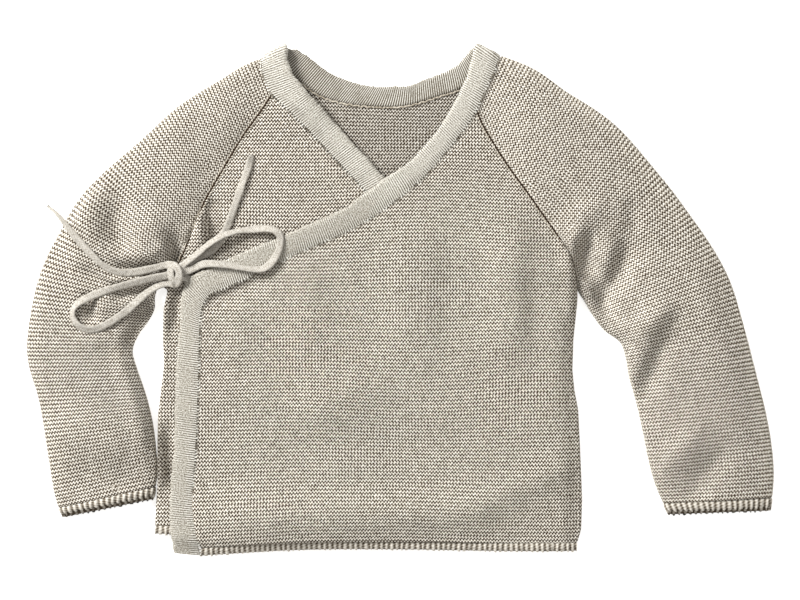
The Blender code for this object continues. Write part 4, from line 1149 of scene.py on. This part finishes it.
def build_cuff(table):
    """The trim round a cuff, with the lower layer set out a little and the lining seen inside it."""
    trim = sizes("trim")
    first = np.array(table[0])
    step = np.array(table[1]) - first
    down = unit(-(step[:2] + step[2:]) / 2.0)
    count = int(round(2.0 * np.linalg.norm(first[2:] - first[:2]) / (trim.rib / MM))) * TRIM_POINTS
    upper, out = cuff_outline(first + step * TRIM / np.linalg.norm(step[:2]), count)
    lower, _ = cuff_outline(first, count)
    under = 1.0 - smooth((lower[:, 2] - 1.0) / 4.0)
    lower[:, :2] += down * CUFF_STEP * under[:, None]
    upper[:, 2] = np.maximum(upper[:, 2], 0.0)
    cloth = Cloth()
    flat_out = out * (1.0 - under)[:, None]
    rib_strip(cloth, upper - flat_out * 0.1, lower - flat_out * 0.1, flat_out, trim.relief / MM, WALL, under)
    inner_low, inner_high = lower - out * (WALL * 0.8), upper - out * WALL
    deep = inner_high + (inner_high - inner_low) * 1.6
    cloth.grid([lower - out * 0.6, inner_low, inner_high, deep],
               stitch_rows(np.arange(len(lower)) / TRIM_POINTS, range(4)), pull=1.0)
    return cloth


# ---------------------------------------------------------------- seams

def beside(line, offset):
    """A flat line moved sideways, to its left when the offset is positive."""
    ahead = unit(np.gradient(line, axis=0))
    return line + np.column_stack([-ahead[:, 1], ahead[:, 0]]) * offset


def stitch_row(cloth, path, pitch, size, turn=0.0, zigzag=0.0, tone=0.5, seed=3):
    """A line of small loops along a path, each a low bead of length, width and height `size`.

    Each loop turns away from the path by `turn` and, one to the left and one to the right, by `zigzag`; tone
    is its place in a ridge of the knit pattern.
    """
    path = evened(path, pitch)
    length, width, height = size
    draws = np.random.RandomState(seed)
    sides = 8
    angles = np.arange(sides) / sides * TAU
    for k, (place, ahead, side, up) in enumerate(zip(path, *directions(path))):
        lean = turn + draws.normal(0.0, 0.2) + (zigzag if k % 2 else -zigzag)
        run = ahead * math.cos(lean) + side * math.sin(lean)
        wide = -ahead * math.sin(lean) + side * math.cos(lean)
        scale = 1.0 + 0.15 * draws.normal()
        section = np.cos(angles)[:, None] * wide * width / 2.0 + np.sin(angles)[:, None] * up * height / 2.0
        net = [place + run * (t * length / 2.0 * scale) + section * math.sqrt(max(0.02, 1.0 - t * t))
               for t in np.linspace(-1.0, 1.0, 5)]
        uv = np.column_stack([0.14 * np.cos(angles), np.full(sides, k + tone)])
        cloth.grid(net, [uv] * len(net), loop=True)


def tube(cloth, line, radius, tip=0.35, stitch=None, sides=6):
    """A thin thread along a line, tapered to its end; stitch gives it one place of the knit pattern."""
    _, side, up = directions(line, (0.1, 0.2, 1.0))
    taper = radius * np.linspace(1.0, tip, len(line))[:, None]
    turns = np.arange(sides) / sides * TAU
    net = np.array([line + (side * math.cos(a) + up * math.sin(a)) * taper for a in turns]).transpose(1, 0, 2)
    uv = stitch_rows(0.5 * np.arange(len(line)), turns).transpose(1, 0, 2)
    cloth.grid(net, uv if stitch is None else uv * 0.0 + stitch, loop=True)


def build_raglan(table, level, side):
    """A raglan seam: two rows of loops and, between them, a swaying, dipping thread: painted shade in the
    groove.
    """
    cloth = Cloth()
    line = evened(through(np.array(table)[UNDERARM:, :2], 2.0), TAPE_STEP)
    along = np.arange(len(line)) * TAPE_STEP
    sway = 0.4 * np.sin(along / 2.4 * TAU)
    path = laid(line + (beside(line, 1.0) - line) * sway[:, None], level, WALL - 0.35)
    path[:, 2] += 0.25 * np.sin(along / 3.1 * TAU)
    # The thread takes the knit's hollow colour: painted shade in the groove
    tube(cloth, path, 0.6, 1.0, (0.04, 0.12))
    for offset, lean in ((-0.95, 0.5), (0.95, -0.5)):
        stitch_row(cloth, laid(beside(line, offset), level, WALL), 1.8, (2.0, 0.95, 0.8),
                   turn=lean * side, tone=0.34, seed=7)
    return cloth


def build_neck_chain():
    """A chain of larger loops just outside the band, from shoulder to shoulder."""
    cloth = Cloth()
    rows = through(BAND_BACK, 2.0)
    line = rows[:, :2] - (rows[:, 2:] - rows[:, :2]) * 0.05
    path = laid(line[(line[:, 0] > -70.0) & (line[:, 0] < 53.0)], floor_level, WALL + 0.5)
    stitch_row(cloth, path, 2.2, (3.0, 1.3, 0.8), zigzag=0.3, tone=0.31, seed=9)
    return cloth


def build_linking(table, level, side):
    """The small stitches that link the band to a front, lying across its seam."""
    cloth = Cloth()
    path = laid(beside(through(table, 2.0)[:, :2], 0.55 * side), level, WALL + 0.25)
    stitch_row(cloth, path, 1.9, (2.2, 0.95, 1.0), turn=math.pi / 2.0, seed=5)
    return cloth


# ---------------------------------------------------------------- ties

def drifting(draws, count, reach, scale):
    """A slow random wave along `count` points."""
    return np.convolve(np.pad(draws.normal(0.0, 1.0, count), reach, mode="wrap"),
                       np.ones(2 * reach + 1) / scale, "valid")


def fray(cloth, end, ahead, side):
    """Loose fibres that spread from the end of a tie and come down on the surface."""
    t = np.linspace(0.0, 1.0, 7)[:, None]
    for aside, length, rise in ((-0.55, 3.4, 0.2), (-0.25, 4.4, 0.6), (0.0, 2.8, -0.1), (0.3, 4.0, 0.3),
                                (0.6, 3.2, 0.1)):
        across = side * aside
        line = end + across + (ahead * t + across * t * t * 0.9) * length
        line[:, 2] = np.maximum(end[2] + rise - t[:, 0] * 1.4, 0.3)
        tube(cloth, line, 0.28)


def build_tie(route, turns, frayed):
    """A flat-knitted tape swept along its route; returns the cloth and its centreline in millimetres."""
    tie = sizes("tie")
    centre = evened(eased(evened(through(route, 2.0), TAPE_STEP), 5), TAPE_STEP)
    run = run_of(centre)
    turn = np.radians(np.interp(run / run[-1], *zip(*turns)))
    draws = np.random.RandomState(len(centre))
    turn = turn + 0.16 * drifting(draws, len(run), 20, 6.4)
    ahead, side, up = directions(centre)
    wide = side * np.cos(turn)[:, None] + up * np.sin(turn)[:, None]
    thick = -side * np.sin(turn)[:, None] + up * np.cos(turn)[:, None]
    taper = np.clip(np.minimum(run, run[-1] - run) / 2.5, 0.0, 1.0) ** 0.5 * 0.6 + 0.4
    if frayed:
        taper = taper * (0.55 + 0.45 * np.clip((run[-1] - run) / 26.0, 0.0, 1.0))
    half_w, half_t = tie.width / MM / 2.0, tie.thickness / MM / 2.0
    swell = 1.0 + 0.05 * drifting(draws, len(run), 5, 3.3)
    angles = np.arange(20) / 20.0 * TAU
    net = []
    for a in angles:
        w = np.sign(math.cos(a)) * abs(math.cos(a)) ** 0.8 * half_w
        t = np.sign(math.sin(a)) * abs(math.sin(a)) ** 0.9 * half_t
        dish = 1.0 - 0.22 * math.exp(-(w / (0.35 * half_w)) ** 2)
        rough = draws.normal(0.0, 0.05, len(run))
        net.append(centre + wide * (w * taper * swell + rough)[:, None]
                   + thick * (t * dish * taper + rough)[:, None])
    cloth = Cloth()
    net = np.array(net).transpose(1, 0, 2)
    cloth.grid(net, stitch_rows(run / 1.3, angles / 6.28 * 9.0).transpose(1, 0, 2), loop=True)
    cloth.cap(net)
    if frayed:
        fray(cloth, centre[-2], ahead[-1], side[-1])
    return cloth, centre


# ---------------------------------------------------------------- materials

def node(tree, kind, settings=None, links=None):
    """Adds a node with its settings and links; a link's key is an input's name or number."""
    made = tree.nodes.new(kind)
    for key, value in (settings or {}).items():
        if isinstance(key, int) or key in made.inputs:
            made.inputs[key].default_value = value
        else:
            setattr(made, key, value)
    for key, source in (links or {}).items():
        tree.links.new(getattr(source, "socket", source), made.inputs[key])
    return made


class Value:
    """A number in a node tree, so that a pattern can be written as sums and products."""

    def __init__(self, tree, socket):
        self.tree, self.socket = tree, socket

    def maths(self, operation, *terms):
        settings, links = {"operation": operation}, {}
        for k, term in enumerate(terms or (self,)):
            (links if isinstance(term, Value) else settings)[k] = term
        return Value(self.tree, node(self.tree, "ShaderNodeMath", settings, links).outputs[0])

    def __add__(self, other):
        return self.maths("ADD", self, other)

    def __sub__(self, other):
        return self.maths("SUBTRACT", self, other)

    def __rsub__(self, other):
        return self.maths("SUBTRACT", other, self)

    def __mul__(self, other):
        return self.maths("MULTIPLY", self, other)

    def wave(self, kind="COSINE"):
        """The cosine or sine of the number as a share of a whole turn."""
        return (self * TAU).maths(kind)

    def mapped(self, low, high, at_low, at_high):
        made = node(self.tree, "ShaderNodeMapRange", {1: low, 2: high, 3: at_low, 4: at_high}, {0: self})
        return Value(self.tree, made.outputs[0])

    def clamped(self):
        return Value(self.tree, node(self.tree, "ShaderNodeClamp", links={0: self}).outputs[0])


def noise(tree, place, scale, detail=2.0, roughness=0.5):
    made = node(tree, "ShaderNodeTexNoise", {"Scale": scale, "Detail": detail, "Roughness": roughness},
                {0: place})
    return Value(tree, made.outputs[0])


def joined(tree, u, v):
    return node(tree, "ShaderNodeCombineXYZ", links={0: u, 1: v}).outputs[0]


def pull_and_shade_of(tree):
    """The mesh's attribute: how the cloth is drawn or worn there, and the painted shade and highlight it
    takes.
    """
    return Value(tree, node(tree, "ShaderNodeAttribute", {"attribute_name": "PullAndShade"}).outputs["Fac"])


def blend(tree, share, low, high):
    settings = {"data_type": "RGBA", 6: (*low, 1.0), 7: (*high, 1.0)}
    return node(tree, "ShaderNodeMix", settings, {0: share}).outputs[2]


def cotton(name, high, low, pattern, bump_mm, melange=0.16, glow_tint=(1.0, 0.96, 0.88)):
    """Matt cotton yarn: rough, with a faint halo of fibre, its tint drifting stitch by stitch."""
    made = bpy.data.materials.get(name)
    if made:
        return made
    made = bpy.data.materials.new(name)
    made.use_nodes = True
    tree = made.node_tree
    shader = tree.nodes["Principled BSDF"]
    shader.inputs["Roughness"].default_value = 0.92
    shader.inputs["Specular IOR Level"].default_value = 0.18
    shader.inputs["Sheen Weight"].default_value = 0.08
    shader.inputs["Sheen Roughness"].default_value = 0.55
    shader.inputs["Sheen Tint"].default_value = (*linear("#e9e2d4"), 1.0)
    coords = node(tree, "ShaderNodeUVMap", {"uv_map": "Stitches"}).outputs[0]
    split = node(tree, "ShaderNodeSeparateXYZ", links={0: coords})
    height = pattern(tree, *(Value(tree, split.outputs[k]) for k in (0, 1)))
    # Yarn spun from light and darker cotton: short streaks a few stitches long in each row
    streak = node(tree, "ShaderNodeMapping", {"Scale": (0.35, 1.9, 1.0)}, {"Vector": coords}).outputs[0]
    tint = noise(tree, streak, 1.0, 3.0, 0.7) * (melange * 2.0) + noise(tree, coords, 0.045) * 0.10 \
        + (1.0 - melange - 0.05)
    # Painted shade and bounce light: the hollows take the dark low colour, warmed like light bounced between
    # loops
    warmed = node(tree, "ShaderNodeVectorMath", {"operation": "MULTIPLY"},
                  {0: blend(tree, height, low, high), 1: blend(tree, height, glow_tint, (1.0, 1.0, 1.0))})
    toned = node(tree, "ShaderNodeVectorMath", {"operation": "SCALE"}, {0: warmed.outputs[0], 3: tint})
    tree.links.new(toned.outputs[0], shader.inputs["Base Color"])
    relief = height + noise(tree, coords, 2.6, 3.0, 0.65) * 0.5
    bump = node(tree, "ShaderNodeBump", {"Strength": 0.8, "Distance": bump_mm * MM}, {"Height": relief})
    tree.links.new(bump.outputs[0], shader.inputs["Normal"])
    return made


def garter_pattern(tree, u, v):
    """1 on the loops that stand up and 0 in the hollows: two staggered rows of loops make a ridge.

    Where the mesh's attribute is higher the cloth is stretched: its loops fade, its ridges run on as smooth
    lines, and its colour is lifted, a painted highlight.
    """
    pull = pull_and_shade_of(tree)
    loops = u.wave() * v.wave() * (0.85 - pull * 0.58) + v.wave("SINE") * (pull * 0.14 + 0.26)
    # One loop catches more light than the next
    cell = joined(tree, (u * 2.0).maths("ROUND"), (v * 2.0).maths("ROUND"))
    chance = node(tree, "ShaderNodeTexWhiteNoise", {"noise_dimensions": "2D"}, {"Vector": cell}).outputs[0]
    # Stretched cloth comes out lighter: a painted highlight
    return ((pull * 0.11 + 0.42) - loops + (Value(tree, chance) - 0.5) * 0.26).clamped()


def rib_pattern(tree, u, v):
    """1 on a rib and 0 between two: fine ribs across the band, clear at its seam, lost where it is felted.

    Behind the neck, where the attribute is 1 or more, the reverse of the fabric shows: clearer ribs, darkened
    by painted shade. Down the front, where it is below 0, wear has felted them.
    """
    pull = pull_and_shade_of(tree)
    place = joined(tree, u, v)
    coarse = noise(tree, place, 1.7, 3.0, 0.75)
    clear = noise(tree, place, 0.12).mapped(0.38, 0.60, 0.10, 0.60) + v.mapped(0.5, 4.0, 0.60, 0.0) \
        + pull * 0.60
    base = 0.60 - pull.maths("ABSOLUTE") * 0.44
    return ((u + v * 0.14).wave() * clear + (coarse - 0.5) * 3.4 + base).clamped()


def upright_pattern(tree, u, v):
    """1 on an upright rib of the trims and 0 in the gap beside it; each rib is a few loops high."""
    loops = ((v + u * 0.5) * 1.5).wave()
    grain = noise(tree, joined(tree, u, v), 2.2)
    # Inside the cuff, where Pull is 1, the yarn lies in the shade of the layer above
    base = 0.55 - pull_and_shade_of(tree) * 0.40
    return (u.wave() * 0.45 + loops * 0.22 + (grain - 0.5) + base).clamped()


def tape_pattern(tree, u, v):
    """The small stitches of the tie, with flecks of the lighter and darker fibre."""
    flecks = noise(tree, joined(tree, u, v), 1.0, 3.0, 0.7)
    return (u.wave() * v.wave() * 0.35 + (flecks - 0.5) * 1.8 + 0.62).clamped()


def garter_cotton(tone=1.0, place=""):
    """The melange garter fabric; a tone below 1 darkens its colours, painted shade on the pieces given one.
    """
    group = sizes("garter")
    # Painted shade: a tone below 1 scales both colours down
    high, low = (tuple(c * tone for c in colour_of) for colour_of in (group.high, group.low))
    return cotton("garter_stitch_cotton" + place, high, low, garter_pattern, 0.5, glow_tint=(1.0, 0.90, 0.72))


def band_cotton():
    """Finer yarn, doubled and worn nearly smooth."""
    group = sizes("band")
    return cotton("fine_gauge_cotton_band", group.high, group.low, rib_pattern, 0.15, melange=0.12)


def trim_cotton():
    """The panels' yarn in upright ribs, with painted shade in the gaps between them."""
    group = sizes("trim")
    return cotton("ribbed_cotton_trim", group.high, group.low, upright_pattern, 0.2)


def tie_cotton():
    """A close tape, even in tone, with a faint grain of small stitches."""
    group = sizes("tie")
    return cotton("flat_knitted_cotton_tape", group.high, group.low, tape_pattern, 0.2, melange=0.10)


def opal_white():
    """Opal white, lit a little from below, so that shadows on it stay faint."""
    made = bpy.data.materials.new("opal_white_light_table")
    made.use_nodes = True
    shader = made.node_tree.nodes["Principled BSDF"]
    shader.inputs["Base Color"].default_value = (*sizes("stage").floor, 1.0)
    shader.inputs["Roughness"].default_value = 0.9
    shader.inputs["Specular IOR Level"].default_value = 0.1
    shader.inputs["Emission Color"].default_value = (1.0, 1.0, 1.0, 1.0)
    shader.inputs["Emission Strength"].default_value = 0.62
    return made


# ---------------------------------------------------------------- operators

class CardiganOperator:
    bl_options = {"REGISTER", "UNDO"}


class CARDIGAN_OT_body(CardiganOperator, bpy.types.Operator):
    """Knits the back and the two fronts"""
    bl_idname = "cardigan.body"
    bl_label = "Body panels"

    def execute(self, context):
        back, right, left = panel_outlines()
        # The back takes painted shade: a tone darker where it shows deep in the neck
        for name, ring, level, shown, seed, cloth_used in (
                ("back_panel", back, floor_level, back_shown, 21, garter_cotton(0.78, "_inside_painted_shade")),
                ("front_right", right, under_level, under_shown, 22, garter_cotton()),
                ("front_left", left, over_level, everywhere, 23, garter_cotton())):
            cloth, outline = build_panel(ring, level, shown, seed)
            piece = cloth.make("knit_" + name, cloth_used, "garter_cotton")
            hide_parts(name)
            size = (outline.max(axis=0) - outline.min(axis=0)) * MM
            abs(signed_area(outline)) * MM * MM
            ["back_panel"] if name != "back_panel" else []
        return {"FINISHED"}


class CARDIGAN_OT_sleeves(CardiganOperator, bpy.types.Operator):
    """Knits the two raglan sleeves"""
    bl_idname = "cardigan.sleeves"
    bl_label = "Sleeves"

    def execute(self, context):
        # The wearer's right sleeve takes painted shade: a tone darker than the left
        for name, table, neck, level, seed, side, cloth_used in (
                ("sleeve_right", SLEEVE_RIGHT, BACK_NECK_RIGHT, under_level, 31, 1.0,
                 garter_cotton(0.94, "_painted_shade")),
                ("sleeve_left", SLEEVE_LEFT, BACK_NECK_LEFT, over_level, 32, -1.0, garter_cotton())):
            sleeve = build_sleeve(table, neck, level, seed, side)
            piece = sleeve.make("knit_" + name, cloth_used, "garter_cotton")
            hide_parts(name)
            widths, spans = row_spans(np.array(table))
        return {"FINISHED"}


class CARDIGAN_OT_band(CardiganOperator, bpy.types.Operator):
    """Lays the folded band round the neck and down the fronts"""
    bl_idname = "cardigan.band"
    bl_label = "Neck and front band"

    def execute(self, context):
        piece = build_band().make("knit_neck_band", band_cotton(), "band_cotton")
        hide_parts("neck_band")
        rows = band_sections()
        length = run_of((rows[:, :3] + rows[:, 3:]) / 2.0)[-1]
        return {"FINISHED"}


class CARDIGAN_OT_trims(CardiganOperator, bpy.types.Operator):
    """Adds the ribbed trims at hem and cuffs"""
    bl_idname = "cardigan.trims"
    bl_label = "Hem and cuff trims"

    def execute(self, context):
        back_hem, right_hem = under_hems()
        for name, line, level, ribbed in (("hem_trim_back", back_hem, floor_level, False),
                                          ("hem_trim_right", right_hem, under_level, False),
                                          ("hem_trim_left", OVER_HEM, over_level, True)):
            piece = build_hem(line, level, ribbed).make("rib_" + name, trim_cotton(), "garter_cotton")
            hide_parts(name)
        for name, table in (("cuff_trim_right", SLEEVE_RIGHT), ("cuff_trim_left", SLEEVE_LEFT)):
            piece = build_cuff(table).make("rib_" + name, trim_cotton(), "garter_cotton")
            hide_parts(name)
        return {"FINISHED"}


class CARDIGAN_OT_seams(CardiganOperator, bpy.types.Operator):
    """Works the raglan seams, the back neck seam and the linking of the band"""
    bl_idname = "cardigan.seams"
    bl_label = "Seams"

    def execute(self, context):
        for name, table, level, side in (("seam_raglan_right", SLEEVE_RIGHT, under_level, -1.0),
                                         ("seam_raglan_left", SLEEVE_LEFT, over_level, 1.0)):
            build_raglan(table, level, side).make(name, garter_cotton(), "garter_cotton")
        build_neck_chain().make("seam_back_neck", garter_cotton(), "garter_cotton")
        for name, table, level, side in (("seam_band_right", BAND_RIGHT, under_level, -1.0),
                                         ("seam_band_left", BAND_LEFT, over_level, 1.0)):
            build_linking(table, level, side).make(name, band_cotton(), "garter_cotton")
        return {"FINISHED"}


class CARDIGAN_OT_ties(CardiganOperator, bpy.types.Operator):
    """Ties the two tapes in a bow"""
    bl_idname = "cardigan.ties"
    bl_label = "Ties"

    def execute(self, context):
        corner = LEAD_CORNER + LOOP_INNER + CORNER_THROUGH + TAIL_OUTER
        side = LEAD_IN + SIDE_WRAP + LOOP_OUTER[::-1] + SIDE_THROUGH + TAIL_UPPER
        for name, route, turns, nodes in (
                ("tie_from_corner", corner, CORNER_TURNS, ("tie_loop_inner", "tie_tail_outer")),
                ("tie_from_side", side, SIDE_TURNS,
                 ("tie_loop_outer", "tie_tail_upper", "tie_lead_side", "bow_knot"))):
            cloth, centre = build_tie(route, turns, name == "tie_from_corner")
            if name == "tie_from_side":
                strand = build_tie(KNOT_STRAND, [(0.0, -5), (1.0, 5)], False)[0]
                cloth.add(np.vstack(strand.points), np.vstack(strand.stitches), np.vstack(strand.faces))
            piece = cloth.make(name, tie_cotton(), "tie_cotton")
            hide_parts(*nodes)
            sizes("tie").width
        return {"FINISHED"}


class CARDIGAN_OT_stage(CardiganOperator, bpy.types.Operator):
    """Sets the pale floor, the soft lights and the camera straight above"""
    bl_idname = "cardigan.stage"
    bl_label = "Stage"

    def execute(self, context):
        stage = sizes("stage")
        data = bpy.data.meshes.new("floor")
        reach, below = 4.0, -0.0004
        data.from_pydata([(x * reach, y * reach, below) for x, y in ((-1, -1), (1, -1), (1, 1), (-1, 1))], [],
                         [(0, 1, 2, 3)])
        data.materials.append(opal_white())
        floor = bpy.data.objects.new("floor", data)
        bpy.context.scene.collection.objects.link(floor)

        bpy.context.scene.view_settings.view_transform = "Standard"
        world = bpy.data.worlds.new("studio")
        world.use_nodes = True
        background = world.node_tree.nodes["Background"]
        background.inputs["Color"].default_value = (*linear("#fffcf8"), 1.0)
        background.inputs["Strength"].default_value = 0.48
        bpy.context.scene.world = world
        # A small key low at the upper left models the knit; a wide fill keeps the far slopes open
        for name, place, power, size in (("key", (-1.30, 1.00, 1.05), 70.0, 0.7),
                                         ("fill", (0.9, -0.7, 1.5), 5.0, 1.2)):
            light = bpy.data.lights.new(name, "AREA")
            light.energy = power
            light.size = size
            lamp = bpy.data.objects.new(name, light)
            lamp.location = place
            lamp.rotation_euler = (-Vector(place)).to_track_quat("-Z", "Y").to_euler()
            bpy.context.scene.collection.objects.link(lamp)

        lens = bpy.data.cameras.new("camera")
        lens.lens = 85.0
        lens.sensor_width = 36.0
        camera = bpy.data.objects.new("camera", lens)
        # The field has its width at the height of the cloth
        cloth_height, half_dot = 0.006, 0.0003
        camera.location = (0.0, -half_dot, stage.width * lens.lens / lens.sensor_width + cloth_height)
        bpy.context.scene.collection.objects.link(camera)
        bpy.context.scene.camera = camera
        return {"FINISHED"}


class CARDIGAN_PT_panel(bpy.types.Panel):
    """Sizes, colours and makers of the cardigan"""
    bl_idname = "CARDIGAN_PT_panel"
    bl_label = "Baby wrap cardigan"
    bl_space_type = "VIEW_3D"
    bl_region_type = "UI"
    bl_category = "Cardigan"

    def draw(self, context):
        for group in GROUPS:
            box = self.layout.box()
            box.label(text=group.capitalize())
            values = sizes(group)
            for key in values.__class__.__annotations__:
                box.prop(values, key)
        for operator in OPERATORS:
            self.layout.operator(operator.bl_idname)


GROUPS = {
    "garter": CARDIGAN_PG_garter,
    "band": CARDIGAN_PG_band,
    "trim": CARDIGAN_PG_trim,
    "tie": CARDIGAN_PG_tie,
    "stage": CARDIGAN_PG_stage,
}
OPERATORS = (CARDIGAN_OT_stage, CARDIGAN_OT_ties, CARDIGAN_OT_body, CARDIGAN_OT_sleeves, CARDIGAN_OT_band,
             CARDIGAN_OT_trims, CARDIGAN_OT_seams)


def register():
    for name, group in GROUPS.items():
        bpy.utils.register_class(group)
        setattr(bpy.types.Scene, "cardigan_" + name, PointerProperty(type=group))
    for operator in OPERATORS:
        bpy.utils.register_class(operator)
    bpy.utils.register_class(CARDIGAN_PT_panel)


def unregister():
    bpy.utils.unregister_class(CARDIGAN_PT_panel)
    for operator in reversed(OPERATORS):
        bpy.utils.unregister_class(operator)
    for name, group in reversed(GROUPS.items()):
        delattr(bpy.types.Scene, "cardigan_" + name)
        bpy.utils.unregister_class(group)


def main():
    register()
    bpy.ops.cardigan.stage()
    bpy.ops.cardigan.ties()
    bpy.ops.cardigan.body()
    bpy.ops.cardigan.sleeves()
    bpy.ops.cardigan.band()
    bpy.ops.cardigan.trims()
    bpy.ops.cardigan.seams()


if __name__ == "__main__":
    main()
